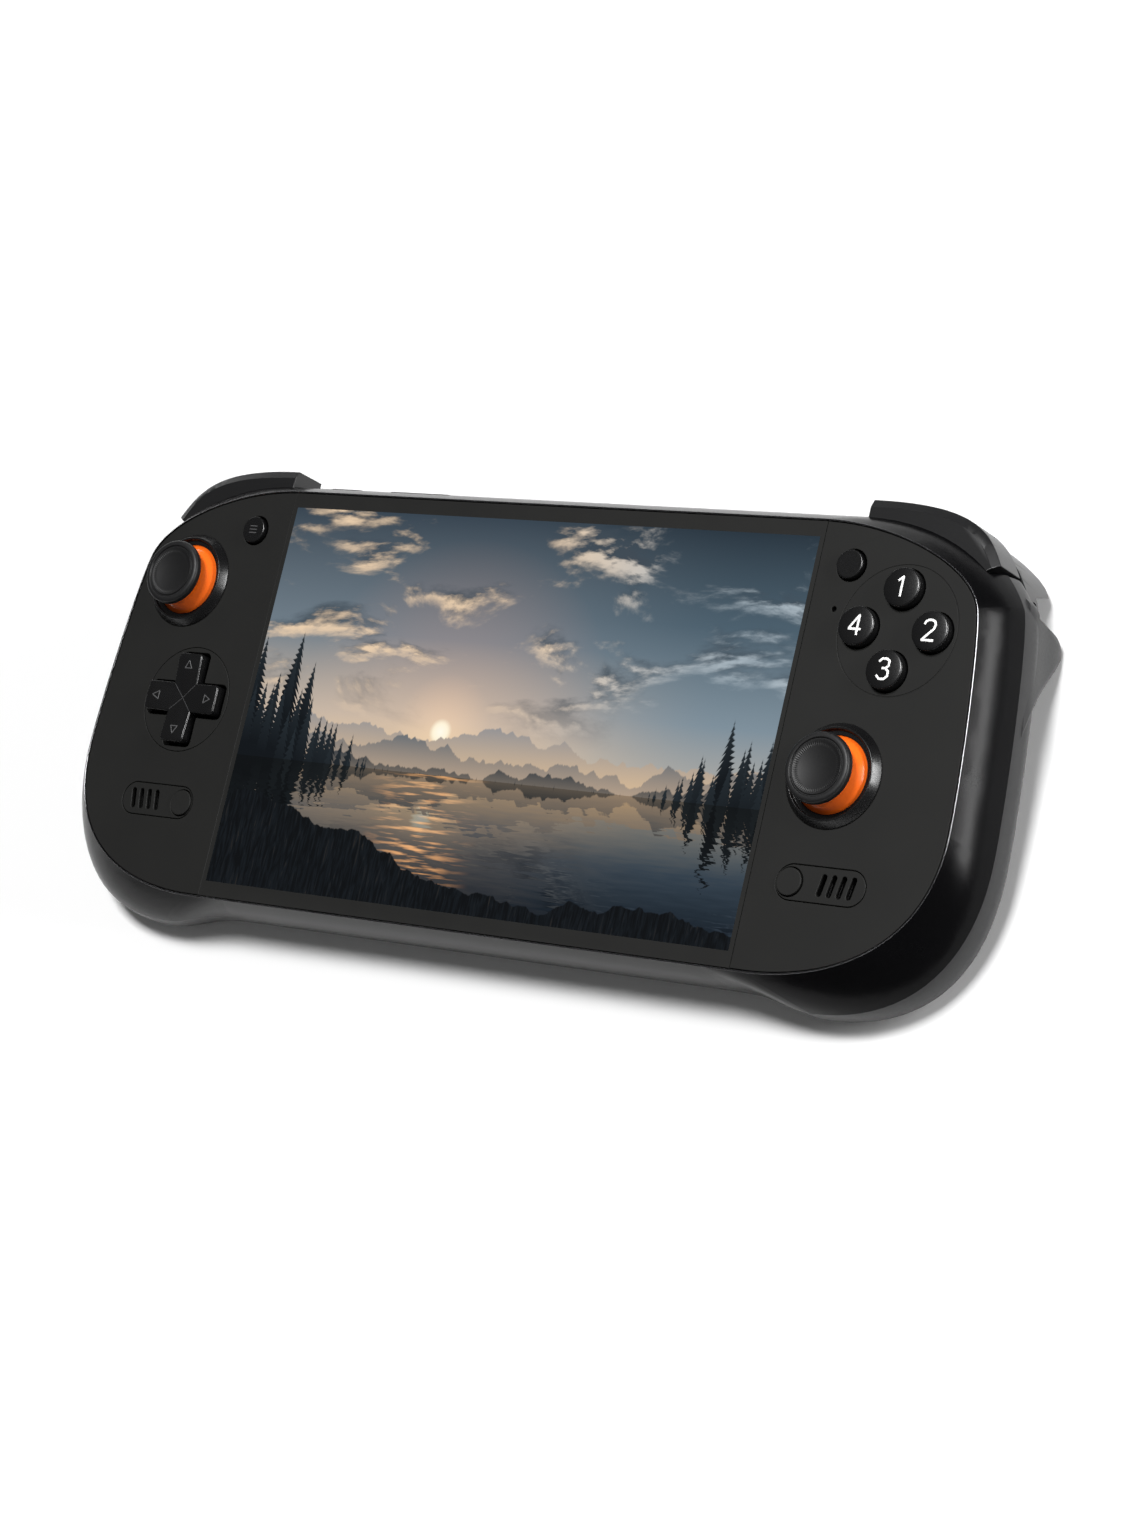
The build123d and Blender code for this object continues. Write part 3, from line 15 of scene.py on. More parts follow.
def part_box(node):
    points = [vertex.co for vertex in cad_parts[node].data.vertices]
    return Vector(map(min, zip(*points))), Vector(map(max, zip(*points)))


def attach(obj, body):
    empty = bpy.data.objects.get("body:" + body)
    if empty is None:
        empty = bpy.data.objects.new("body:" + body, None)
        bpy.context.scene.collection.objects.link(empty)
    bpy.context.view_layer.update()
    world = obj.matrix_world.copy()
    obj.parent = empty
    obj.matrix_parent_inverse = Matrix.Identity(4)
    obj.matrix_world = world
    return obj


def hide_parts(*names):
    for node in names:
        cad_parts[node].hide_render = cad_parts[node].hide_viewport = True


bl_info = {
    "name": "Handheld console",
    "version": (1, 0, 0),
    "blender": (4, 5, 0),
    "location": "3D View > Sidebar > Console",
    "description": "Builds the looks of a handheld game console around its packed CAD frame",
    "category": "Object",
}

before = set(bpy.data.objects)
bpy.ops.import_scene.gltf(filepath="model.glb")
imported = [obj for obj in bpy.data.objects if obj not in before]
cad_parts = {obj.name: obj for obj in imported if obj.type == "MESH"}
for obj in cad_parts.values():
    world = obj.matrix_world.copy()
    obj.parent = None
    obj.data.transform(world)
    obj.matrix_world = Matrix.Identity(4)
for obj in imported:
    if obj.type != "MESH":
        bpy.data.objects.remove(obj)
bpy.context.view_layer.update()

# How the console lies: tilt of its face over the table, and the middle of its face
TILT = math.radians(7.015459)
DISPLAY_DEPTH = 2.4
ACROSS = np.array([1.0, 0.0, 0.0])
UP = np.array([0.0, math.cos(TILT), math.sin(TILT)])
OUT = np.array([0.0, -math.sin(TILT), math.cos(TILT)])
ORIGIN = np.mean(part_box("display_panel"), axis=0) * 1000 + OUT * DISPLAY_DEPTH

# Screen, the gaps round the plates and the rim's flat land in millimetres, as in the CAD
SCREEN = (172.3, 107.7)
PANEL_GAP = 0.05
EDGE_GAP = 0.25
RIM_LAND = 0.45

# Right half of the face's outline, as in the CAD: half width, heights of its top and foot, the
# upper corner and its tangent's slope, the side's lowest upright point, and how far in from the
# side the top line, the grip's foot and the middle's foot begin
FACE_HALF = 140.7
FACE_TOP = 58.2
FACE_FOOT = 58.3
CORNER = (FACE_HALF - 5.5, FACE_TOP - 20.5)
CORNER_SLOPE = 0.33
SIDE_DROP = 19.2
TOP_IN, GRIP_IN, MIDDLE_IN = 54.4, 49.6, 62.0
# Lengths of the Bezier handles at both ends of each of the four runs, and the runs' points
HANDLES = ((21.7, 11.4), (7.4, 15.8), (29.6, 23.7), (4.0, 4.0))
RUN_POINTS = (60, 60, 110, 50)
LINE_POINTS = 90

# Points round the turned forms, the ring groove and the ribbed caps
ROUND, GROOVE_ROUND, CAP_ROUND = 144, 160, 432

# Holes in the face plates
FACE_HOLE = 5.5
MENU_HOLE = 4.3
PILL_HOLE = 3.85
STICK_HOLE = 12.25
PAD_HOLE = 15.15
GRILLE_GAP = 0.2
PILL = (25.7, 9.0)
RING_GROOVE = (16.9, 17.05)
GROOVE_BED = ((-0.2, -0.12), (0.2, -0.12), (0.2, -0.3), (-0.2, -0.3))
LIGHT = (94.8, 35.2, 0.7)
WAYS = ("top", "right", "bottom", "left")

# Sticks: middle of their ball below the face, the dome on it with its wall and the angles from
# the upright that it spans, and the socket round it with the levels over the ball's middle
STICK_PIVOT = -6.3
DOME = 12.5
DOME_WALL = 0.9
DOME_ANGLES = (14.8, 72)
SOCKET = 12.7
SOCKET_LEVELS = (5.1, 7.6)
# Stick ring's lip as (radius, fall from the ring's top), and the roundings of its corners
LIP = ((10.0, 1.08), (11.45, 1.1), (11.5, 0), (12.05, 0))
LIP_ROUNDINGS = (0.12, 0.2, 0.22, 0.25, 0.3)
# Stick cap: fall of its dish and how far in from the cap's edge that ends and would be level, the
# rim's width, the steps inside it as (in from the rim, fall), the ribs' middle in from the rim and
# half their width, the cap's height and its foot, radii of collar and shaft, and the roundings
DISH, DISH_END, DISH_LEVEL = 0.9, 2.45, 1.9
CAP_RIM = 1.6
RIM_STEPS = ((0.65, 0.12), (0.5, 0.4), (0.2, 0.4))
RIBS = (1.5, 0.6)
CAP_TALL = 2.6
COLLAR_FOOT = 3.5
SHAFT = (3.2, 1.5)
CAP_ROUNDINGS = (0.08, 0.08, 0.08, 0.25, 1.15, 1.0, 0.3)

# Keys: how far the flange stands out, where it begins and ends, and the crown of a face button
KEY_LIP = 1.1
KEY_WALL = -3.4
KEY_FLANGE = -4.2
CROWN = 0.35
# Small keys: end of the piece's name, end of the node's name, rounding of the edge, and flange
SMALL_KEYS = (("_menu", "_menu_button", 0.4, 1.5), ("_small", "_pill_button", 0.2, 1.2))
# Lines on the left menu button: half their length, and their places up the face
MENU_LINE = 1.3
MENU_LINES = (0.95, 0.0, -0.95)
# Width and height of the raised lines there, of the D-pad's arrows, and of the painted highlight lines
# along its creases
MENU_BEAD, ARROW_BEAD, CREASE_HIGHLIGHT_BEAD = (0.3, 0.05), (0.3, 0.06), (0.14, 0.02)

# Speaker grilles: how many slots, their length and width, step, middle's distance, and slant
SLOTS = 4
SLOT = (5.8, 1.45)
SLOT_STEP = 2.85
SLOTS_ASIDE = 4.6
SLOT_SLANT = 10

# D-pad: reach, half width and corner of the cross and of its well, the cross's rounded edge,
# where the arms' slopes end, how far they fall, the flange's top, radius and thickness, the stem
CROSS = (12.8, 4.2, 1.2)
WELL = (13.65, 5.05, 1.6)
CROSS_EDGE = 0.5
CROSS_SPLIT = 10.2
CROSS_DIP = 0.9
CROSS_FOOT = -4.1
CROSS_FLANGE = (13.2, 0.8)
CROSS_STEM = 2.6
ARROW = ((-1.2, 8.4), (1.2, 8.4), (0, 10.6), (-1.2, 8.4))

# How far a laid-on form starts under the surface that carries it, and the ink's thickness
SUNK = 0.01
INK = 0.04


def laid(points):
    """Face-frame millimetres as frame metres: origin plus x, y and z along the face's axes."""
    p = np.asarray(points, float)
    return (ORIGIN + p[..., :1] * ACROSS + p[..., 1:2] * UP + p[..., 2:3] * OUT) / 1000


def face_box(name):
    """A CAD node's low and high corners in the face's frame, in millimetres."""
    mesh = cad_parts[name].data
    points = np.empty(len(mesh.vertices) * 3)
    mesh.vertices.foreach_get("co", points)
    points = (points.reshape(-1, 3) * 1000 - ORIGIN) @ np.stack([ACROSS, UP, OUT]).T
    return points.min(0), points.max(0)


def middle(name):
    """Middle of a CAD node across and up the face."""
    return np.mean(face_box(name), axis=0)[:2]


def half_width(name):
    """Half the width of a CAD node across the face."""
    low, high = face_box(name)
    return (high[0] - low[0]) / 2


def linear(hex_colour):
    """An sRGB hex colour as linear red, green, blue and alpha."""
    parts = [int(hex_colour[i:i + 2], 16) / 255 for i in (1, 3, 5)]
    return [c / 12.92 if c <= 0.04045 else ((c + 0.055) / 1.055) ** 2.4 for c in parts] + [1.0]


GLASS_HALF = face_box("cover_glass")[1][0]
PANEL_DEPTH = -face_box("cover_glass")[0][2]


# Curves


def bezier(points, count):
    """Cubic Bezier without its end: control points weighted by the Bernstein polynomials of u."""
    u = np.linspace(0, 1, count + 1)[:-1, None]
    a, b, c, d = (np.asarray(p, float)[..., None, :] for p in points)
    return (1 - u) ** 3 * a + 3 * (1 - u) ** 2 * u * b + 3 * (1 - u) * u ** 2 * c + u ** 3 * d


def straight(a, b, count):
    """Points from a up to, but without, b at even steps."""
    u = np.arange(count)[:, None] / count
    return (1 - u) * np.asarray(a, float)[..., None, :] + u * np.asarray(b, float)[..., None, :]


def outline(inset=0.0):
    """The face's outline, counter-clockwise, drawn in by each inset.

    Four Bezier runs down the right side, the bottom line, the runs mirrored up the left side,
    the top line.
    """
    i = np.asarray(inset, float)

    def at(x, y):
        return np.stack(np.broadcast_arrays(x, y, i)[:2], -1)

    size = math.sqrt(1 + CORNER_SLOPE ** 2)
    along, outward = at(CORNER_SLOPE / size, -1 / size), at(1 / size, CORNER_SLOPE / size)
    start, corner = at(FACE_HALF - TOP_IN, FACE_TOP - i), at(*CORNER) - outward * i[..., None]
    side = at(FACE_HALF - i, -SIDE_DROP)
    grip, mid = at(FACE_HALF - GRIP_IN, i - FACE_FOOT), at(FACE_HALF - MIDDLE_IN, i - FACE_FOOT)
    right, fall = at(1.0, 0.0), at(0.0, -1.0)
    ways = ((start, right, along, corner), (corner, along, fall, side), (side, fall, -right, grip),
            (grip, -right, -right, mid))
    runs = [bezier((a, a + leave * first, b - arrive * last, b), count)
            for (a, leave, arrive, b), (first, last), count in zip(ways, HANDLES, RUN_POINTS)]
    down = np.concatenate(runs + [mid[..., None, :]], -2)
    over = down * [-1, 1]
    across = straight(start * [-1, 1], start, LINE_POINTS)
    along_foot = straight(mid, mid * [-1, 1], LINE_POINTS)
    ring = np.concatenate([across, down, along_foot[..., 1:, :], over[..., :0:-1, :]], -2)
    return ring[..., ::-1, :]


def round_loop(x, y, radius, count=72):
    """A circle, counter-clockwise: cosine and sine of an even angle."""
    a = np.arange(count) / count * 2 * math.pi
    return np.stack([x + radius * np.cos(a), y + radius * np.sin(a)], -1)


def turned(points, angle):
    """Points turned about the face's middle by an angle, counter-clockwise."""
    c, s = math.cos(angle), math.sin(angle)
    return points @ np.array([[c, s], [-s, c]])


def slot_loop(x, y, length, width, turn=0.0, count=48):
    """A slot with round ends, counter-clockwise: two half circles a straight run apart."""
    a = np.linspace(-math.pi / 2, math.pi / 2, count // 2)
    half = (length - width) / 2
    right = np.stack([half + width / 2 * np.cos(a), width / 2 * np.sin(a)], -1)
    return turned(np.concatenate([right, -right]), turn) + [x, y]


def softened(corners, radii, steps=6):
    """An open or closed run of corners with each one rounded by a short quadratic arc."""
    points = []
    for (p, c, n), r in zip(zip(corners[:-2], corners[1:-1], corners[2:]), radii):
        p, c, n = (np.asarray(v, float) for v in (p, c, n))
        if r <= 0:
            points.append(c[None])
            continue
        back, on = (p - c) / np.linalg.norm(p - c), (n - c) / np.linalg.norm(n - c)
        half = math.acos(float(np.clip(back @ on, -1, 1))) / 2
        reach = r / math.tan(half)
        u = np.linspace(0, 1, steps + 1)[:, None]
        points.append((1 - u) ** 2 * (c + back * reach) + 2 * (1 - u) * u * c + u ** 2 * (c + on * reach))
    return np.concatenate(points)


# Meshes


def added(name, data):
    """A new object of the scene, with its mesh, lamp or lens."""
    made = bpy.data.objects.new(name, data)
    bpy.context.scene.collection.objects.link(made)
    return made


def put_mesh(name, verts, faces, body, material, *nodes):
    """A new smooth piece from vertices in metres and arrays of faces, riding on its body."""
    mesh = bpy.data.meshes.new(name)
    mesh.vertices.add(len(verts))
    mesh.vertices.foreach_set("co", np.ascontiguousarray(verts, np.float32).ravel())
    corners = np.concatenate([f.ravel() for f in faces]).astype(np.int32)
    sizes = np.concatenate([np.full(len(f), f.shape[1]) for f in faces])
    mesh.loops.add(len(corners))
    mesh.loops.foreach_set("vertex_index", corners)
    mesh.polygons.add(len(sizes))
    mesh.polygons.foreach_set("loop_start", (np.cumsum(sizes) - sizes).astype(np.int32))
    mesh.update(calc_edges=True)
    mesh.validate()
    piece = added(name, mesh)
    mesh.materials.append(material)
    shade(piece)
    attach(piece, body)
    if nodes:
        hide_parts(*nodes)
    return piece


def shade(piece, angle=38.0):
    """Smooth shading, with edges sharper than the angle kept crisp."""
    piece.data.polygons.foreach_set("use_smooth", [True] * len(piece.data.polygons))
    piece.data.set_sharp_from_angle(angle=math.radians(angle))


def grid_faces(rows, columns, start=0, round_rows=False, round_columns=False, flip=False):
    """Quads between the points of a rows by columns grid, with its ends joined where round."""
    r = np.arange(rows if round_rows else rows - 1)[:, None]
    c = np.arange(columns if round_columns else columns - 1)[None]
    r1, c1 = (r + 1) % rows, (c + 1) % columns
    quad = np.stack([r * columns + c, r * columns + c1, r1 * columns + c1, r1 * columns + c], -1)
    quad = quad.reshape(-1, 4) + start
    return quad[:, ::-1] if flip else quad


def left_normals(loop):
    """Unit normals to the left of a closed loop, from the run between each point's neighbours."""
    run = np.roll(loop, -1, 0) - np.roll(loop, 1, 0)
    run /= np.linalg.norm(run, axis=1)[:, None]
    return np.stack([-run[:, 1], run[:, 0]], -1)


def fill_flat(loops, height, start):
    """Triangles that fill an outline with holes; loops are given with the material to their left."""
    flat = [[Vector((x, y, 0)) for x, y in loop] for loop in loops]
    tris = np.array(tessellate_polygon(flat))
    points = np.concatenate(loops)
    a, b, c = (points[tris[:, k]] for k in range(3))
    area = (b[:, 0] - a[:, 0]) * (c[:, 1] - a[:, 1]) - (b[:, 1] - a[:, 1]) * (c[:, 0] - a[:, 0])
    tris = np.where((area < 0)[:, None], tris[:, ::-1], tris)
    verts = np.column_stack([points, np.full(len(points), height)])
    return verts, tris + start


def plate(outer, holes, front, back, edge, steps=4):
    """A plate between two heights with rounded front edges.

    Each loop carries a profile: a quarter circle of the edge's radius from the front face down
    to the wall, then the wall to the back. The faces between the loops are filled flat.
    """
    loops = [outer] + [hole[::-1] for hole in holes]
    turn = np.linspace(0, math.pi / 2, steps + 1)
    drawn = np.append(edge * (1 - np.sin(turn)), 0)
    height = np.append(front - edge * (1 - np.cos(turn)), back)
    verts, faces, start = [], [], 0
    for loop in loops:
        inward = left_normals(loop)
        rings = loop[None] + inward[None] * drawn[:, None, None]
        tall = np.broadcast_to(height[:, None, None], rings.shape[:2] + (1,))
        verts.append(np.concatenate([rings, tall], -1).reshape(-1, 3))
        faces.append(grid_faces(len(drawn), len(loop), start, round_columns=True, flip=True))
        start += len(verts[-1])
    tops = [loop + left_normals(loop) * edge for loop in loops]
    top_verts, top = fill_flat(tops, front, start)
    start += len(top_verts)
    low_verts, low = fill_flat(loops, back, start)
    return np.concatenate(verts + [top_verts, low_verts]), [*faces, top, low[:, ::-1]]


def joined(verts, faces):
    """The same surface with its doubled points made one and what is left of its faces."""
    _, first, back = np.unique(np.round(verts, 5), axis=0, return_index=True, return_inverse=True)
    back = back.ravel()
    return verts[first], clean([back[f] for f in faces])


def lathe(profile, x, y, count=96, ring=False):
    """A profile of (radius, height) points turned round the face's normal through x, y.

    The profile of a ring goes on from its last point to its first.
    """
    a = np.arange(count) / count * 2 * math.pi
    r, h = profile[:, 0][:, None], profile[:, 1][:, None]
    grid = np.stack([x + r * np.cos(a), y + r * np.sin(a), h + 0 * a], -1)
    return grid.reshape(-1, 3), [grid_faces(len(profile), count, 0, ring, True, True)]


def closed_lathe(profile, x, y, count=96):
    """A turned body whose ends on the axis are closed by fans, and the rest by its grid."""
    return joined(*lathe(profile, x, y, count))


def clean(faces):
    """Quads that have lost a corner at a pole become triangles; empty ones are dropped."""
    out = []
    for f in faces:
        if f.shape[1] == 3:
            out.append(f[(f[:, 0] != f[:, 1]) & (f[:, 1] != f[:, 2]) & (f[:, 2] != f[:, 0])])
            continue
        same = f == np.roll(f, -1, 1)
        whole = same.sum(1) == 0
        out.append(f[whole])
        for k in range(4):
            rows = f[same[:, k] & (same.sum(1) == 1)]
            if len(rows):
                out.append(np.delete(rows, k, axis=1))
    return [f for f in out if len(f)]


# Materials

# Kinds and settings of the nodes that are used most
MATH, MIX, RANGE, NOISE = "ShaderNodeMath", "ShaderNodeMix", "ShaderNodeMapRange", "ShaderNodeTexNoise"
COLOURS = {"data_type": "RGBA"}
SCREENED = {**COLOURS, "blend_type": "SCREEN"}
SMOOTH = {"interpolation_type": "SMOOTHSTEP"}
ABSOLUTE, ADD, FLOOR, FRACT, LESS_THAN, MAXIMUM, MULTIPLY, MULTIPLY_ADD, SUBTRACT = (
    {"operation": name} for name in (
        "ABSOLUTE", "ADD", "FLOOR", "FRACT", "LESS_THAN", "MAXIMUM", "MULTIPLY", "MULTIPLY_ADD",
        "SUBTRACT"))


def node(tree, kind, settings=None, *feeds):
    """Adds a node: settings are its attributes or inputs by name, feeds fill its live inputs in order."""
    made = tree.nodes.new(kind)
    for key, value in (settings or {}).items():
        if hasattr(made, key):
            setattr(made, key, value)
        else:
            made.inputs[key].default_value = value
    for socket, feed in zip([s for s in made.inputs if s.enabled], feeds):
        if isinstance(feed, bpy.types.Node):
            feed = next(s for s in feed.outputs if s.enabled)
        if isinstance(feed, bpy.types.NodeSocket):
            tree.links.new(feed, socket)
        elif feed is not None:
            socket.default_value = feed
    return made


def ramp(tree, factor, *stops):
    """A colour ramp fed by factor, from (place, colour) stops, the colours hex or linear."""
    made = node(tree, "ShaderNodeValToRGB", None, factor)
    keys = made.color_ramp.elements
    while len(keys) < len(stops):
        keys.new(1.0)
    for key, (place, colour) in zip(keys, stops):
        key.position = place
        key.color = linear(colour) if isinstance(colour, str) else colour
    return made


def blank(name, **values):
    """A new material with its tree and shader, and values set on the shader's own sockets."""
    made = bpy.data.materials.new(name)
    made.use_nodes = True
    tree = made.node_tree
    shader = tree.nodes["Principled BSDF"]
    for key, value in values.items():
        shader.inputs[key.replace("_", " ")].default_value = value
    return made, tree, shader


# Each finish: colour (hex, or the name of a colour that the user sets), roughness of its smooth
# and its dull spots, IOR, metallic, specular level, width and height of its grain in mm, coat
FINISHES = {
    # Charcoal ABS, moulded against a spark-eroded face: a dry, even grey that takes no mirror image.
    "Charcoal ABS, fine spark texture": ("face", 0.52, 0.62, 1.50, 0, 0.28, 0.35, 0.006, 0.0),
    # Toughened glass, etched matt over a printed charcoal border: like the plates, a little smoother.
    "Etched glass over charcoal print": ("face", 0.50, 0.57, 1.50, 0, 0.30, 0.20, 0.002, 0.0),
    # Black ABS under a satin lacquer: deep black with broad soft bands where a softbox shows.
    "Black ABS, satin lacquered": ("rim", 0.20, 0.25, 1.50, 0, 0.10, 0.30, 0.0015, 0.0),
    # Black ABS, moulded satin and left bare: a wider, greyer sheen than the lacquered rim has.
    "Black ABS, satin moulded": ("shoulder", 0.32, 0.38, 1.50, 0, 0.50, 0.30, 0.002, 0.0),
    # Smoked chrome, vacuum plated on the rim's narrow inner edge: a thin line that catches every lamp.
    "Smoked chrome, vacuum plated": ("edge", 0.16, 0.22, 1.50, 1, 0.50, 0.30, 0.0005, 0.0),
    # Black ABS with a moulded grip grain: dull, so that it reads a little lighter than the rim.
    "Black ABS, grip texture": ("grip", 0.40, 0.48, 1.50, 0, 0.50, 0.55, 0.010, 0.0),
    # Black polycarbonate from a half-polished mould: near black with narrow bright arcs on its edges.
    "Black polycarbonate, semi-gloss": ("keys", 0.24, 0.32, 1.58, 0, 0.45, 0.25, 0.001, 0.1),
    # Black TPE rubber, moulded matt: a soft wide sheen and a slight tooth.
    "Black TPE rubber, moulded": ("rubber", 0.42, 0.52, 1.50, 0, 0.45, 0.35, 0.005, 0.0),
    # Orange ABS, gloss lacquered: a strong clean colour with a soft bright band.
    "Orange ABS, gloss lacquered": ("dome", 0.20, 0.26, 1.50, 0, 0.50, 0.60, 0.001, 0.3),
    # White pad-printed ink: flat and slightly chalky.
    "White ink, pad printed": ("ink", 0.45, 0.55, 1.50, 0, 0.50, 0.30, 0.001, 0.0),
    # Grey pad-printed ink: plain marks that are only just lighter than the keys; the same grey paints
    # highlight lines along the D-pad's creases.
    "Grey ink, pad printed": ("mark", 0.40, 0.50, 1.50, 0, 0.50, 0.30, 0.001, 0.0),
    # Nylon filled with glass fibre: dull dark grey, faintly mottled.
    "Black nylon, glass filled": ("#1B1B1C", 0.50, 0.65, 1.53, 0, 0.50, 0.80, 0.010, 0.0),
    # Stainless steel, turned and pressed: grey metal with fine scratches.
    "Stainless steel, turned": ("#B9B7B2", 0.22, 0.34, 1.50, 1, 0.50, 0.20, 0.002, 0.0),
    # Magnesium alloy, cast: dull silver, slightly uneven.
    "Magnesium alloy, cast": ("#8E8F90", 0.42, 0.55, 1.50, 1, 0.50, 1.20, 0.010, 0.0),
    # Aluminium fins, blackened so that nothing shines behind the air slots: dull dark metal.
    "Aluminium, blackened": ("#2C2D2F", 0.40, 0.52, 1.50, 1, 0.50, 0.60, 0.002, 0.0),
    # FR4 circuit board under solder mask: dark green satin.
    "FR4 board, solder masked": ("#0D2A1C", 0.35, 0.45, 1.55, 0, 0.50, 0.50, 0.002, 0.2),
    # PVC shrink wrap on the battery: black with a soft, slightly wavy gloss.
    "PVC wrap, shrunk": ("#17181A", 0.32, 0.42, 1.54, 0, 0.50, 3.00, 0.020, 0.0),
    # Silicone rubber, moulded: a dull mid grey.
    "Grey silicone, moulded": ("#4A4B4D", 0.50, 0.60, 1.41, 0, 0.50, 0.50, 0.004, 0.0),
}
GRAIN_LIGHTER = 1.3
BROAD_GRAIN = 60
GRAIN_SPAN = (0.3, 0.7)
COAT_ROUGHNESS = 0.12


def finish(name):
    """A finish of the table: noise of its grain's width drives colour, roughness and bump."""
    if name in bpy.data.materials:
        return bpy.data.materials[name]
    colour, smooth, dull, ior, metal, specular, grain, height, coat = FINISHES[name]
    chosen = bpy.context.scene.console_colours
    colour = linear(colour) if colour[0] == "#" else list(getattr(chosen, colour))
    lighter = [c * GRAIN_LIGHTER for c in colour[:3]] + [1.0]
    made, tree, shader = blank(name, IOR=ior, Metallic=metal, Specular_IOR_Level=specular,
                               Coat_Weight=coat, Coat_Roughness=COAT_ROUGHNESS)
    made.diffuse_color = colour
    place = node(tree, "ShaderNodeTexCoord").outputs["Object"]
    # Object coordinates are metres, so a grain of g mm is a noise of scale 1000 / g.
    fine = node(tree, NOISE, {"Scale": 1000 / grain, "Detail": 3.0}, place)
    broad = node(tree, NOISE, {"Scale": 1000 / (grain * BROAD_GRAIN)}, place)
    mixed = node(tree, MATH, MULTIPLY_ADD, fine, 0.5, broad)
    shade_of = ramp(tree, mixed, (0.45, colour), (1.0, lighter))
    sheen = node(tree, RANGE, None, fine, *GRAIN_SPAN, smooth, dull)
    bump = node(tree, "ShaderNodeBump", {"Strength": 1.0, "Distance": height / 1000, "Height": 0.0})
    tree.links.new(fine.outputs[0], bump.inputs["Height"])
    tree.links.new(shade_of.outputs["Color"], shader.inputs["Base Color"])
    tree.links.new(sheen.outputs[0], shader.inputs["Roughness"])
    tree.links.new(bump.outputs[0], shader.inputs["Normal"])
    return made


# CAD nodes of each finish, by the ends or starts of their names
NODE_FINISHES = {
    "Black ABS, satin lacquered": "front_housing",
    "Black ABS, satin moulded": "bumper trigger",
    "Black ABS, grip texture": "rear_shell",
    "Charcoal ABS, fine spark texture": "face_panel dpad_disc pill_button speaker_grille",
    "Etched glass over charcoal print": "cover_glass",
    "Black polycarbonate, semi-gloss": "stick_ring dpad_cross face_button menu_button power_button "
                                       "volume_rocker",
    "Orange ABS, gloss lacquered": "stick_dome",
    "Black TPE rubber, moulded": "stick_cap",
    "Grey silicone, moulded": "face_button_rubber dpad_rubber",
    "Stainless steel, turned": "trigger_spring stick_module shoulder_pins case_screws dpad_pivot "
                               "rumble_motor usb_port",
    "Black nylon, glass filled": "stick_yoke stick_arm fan_housing fan_rotor speaker headphone_jack",
    "FR4 board, solder masked": "button_board mainboard storage_card",
    "PVC wrap, shrunk": "battery",
    "Aluminium, blackened": "heat_sink",
    "Magnesium alloy, cast": "mid_frame",
}


def finish_of(name):
    """The finish of a CAD node, by the longest word that its name ends or starts with."""
    words = {word: made for made, nodes in NODE_FINISHES.items() for word in nodes.split()}
    return words[max((word for word in words if name.endswith(word) or name.startswith(word)), key=len)]


# Picture on the screen: one unit is the screen's height, measured from its lower left corner
SHORE = 0.335
SUN = (0.63, 0.445, 0.0)
# Ranges of hills from far to near: middle height, rise, crests per unit, colour at crest and foot
HILLS = ((0.425, 0.17, 1.9, "#8D8F94", "#D8BA95"), (0.395, 0.14, 2.9, "#5E6972", "#B09C88"),
         (0.355, 0.075, 4.6, "#2F3941", "#6B645D"))
# Rows of firs: trees per unit, offset, share of the full height; branches per unit, half width
FIRS = ((17.0, 0.35, 1.0), (24.0, 3.6, 0.78), (31.0, 7.2, 0.6))
BRANCHES = 62.0
FIR_WIDTH = 0.21
# Ripples: how fine they are across and up, and how far they shift the mirrored picture
RIPPLES = (9.0, 95.0, 1.0)
SWAY = (0.7, 0.9)
# Bank in the foreground: how high its noise rises and how far its middle lies under the crest
BANK = (0.2, 0.045)


def dusk_sky(tree, across, height, spot):
    """Sky: two height ramps mixed from warm left to cool right, a glow round the sun, lit clouds."""
    warm = ramp(tree, height, (SHORE, "#E9CBA2"), (0.47, "#C4B4A4"), (0.68, "#6F7D88"), (1.0, "#36434F"))
    cool = ramp(tree, height, (SHORE, "#B4AFA6"), (0.52, "#7E8F9B"), (0.76, "#4B5F6D"), (1.0, "#27343F"))
    side = node(tree, RANGE, SMOOTH, across, 0.65, 1.45)
    sky = node(tree, MIX, COLOURS, side, warm.outputs[0], cool.outputs[0])
    far = node(tree, "ShaderNodeVectorMath", {"operation": "DISTANCE"}, spot, SUN).outputs["Value"]
    glow = ramp(tree, far, (0.0, "#FFF6DE"), (0.022, "#FFE9BE"), (0.034, "#B9804A"), (0.15, "#6A4322"),
                (0.5, "#000000"))
    sky = node(tree, MIX, SCREENED, 1.0, sky, glow.outputs[0])
    drawn = node(tree, "ShaderNodeMapping", {"Rotation": (0, 0, 0.28), "Scale": (1.0, 2.5, 1.0)}, spot)
    moved = node(tree, "ShaderNodeVectorMath", ADD, drawn, (0.012, -0.05, 0.0))
    settings = {"Scale": 2.3, "Detail": 9.0, "Roughness": 0.57, "Distortion": 0.35}
    cloud = node(tree, NOISE, settings, drawn)
    below = node(tree, NOISE, settings, moved)
    slope = node(tree, MATH, SUBTRACT, cloud, below)
    lit = node(tree, RANGE, None, slope, -0.02, 0.05)
    near = ramp(tree, side, (0.0, "#EBCFAE"), (1.0, "#A9B6BF"))
    tone = node(tree, MIX, COLOURS, lit, linear("#3E4953"), near.outputs[0])
    thick = node(tree, RANGE, SMOOTH, cloud, 0.49, 0.63)
    high = node(tree, RANGE, SMOOTH, height, 0.42, 0.62)
    cover = node(tree, MATH, MULTIPLY, thick, high)
    return node(tree, MIX, COLOURS, cover, sky, tone)


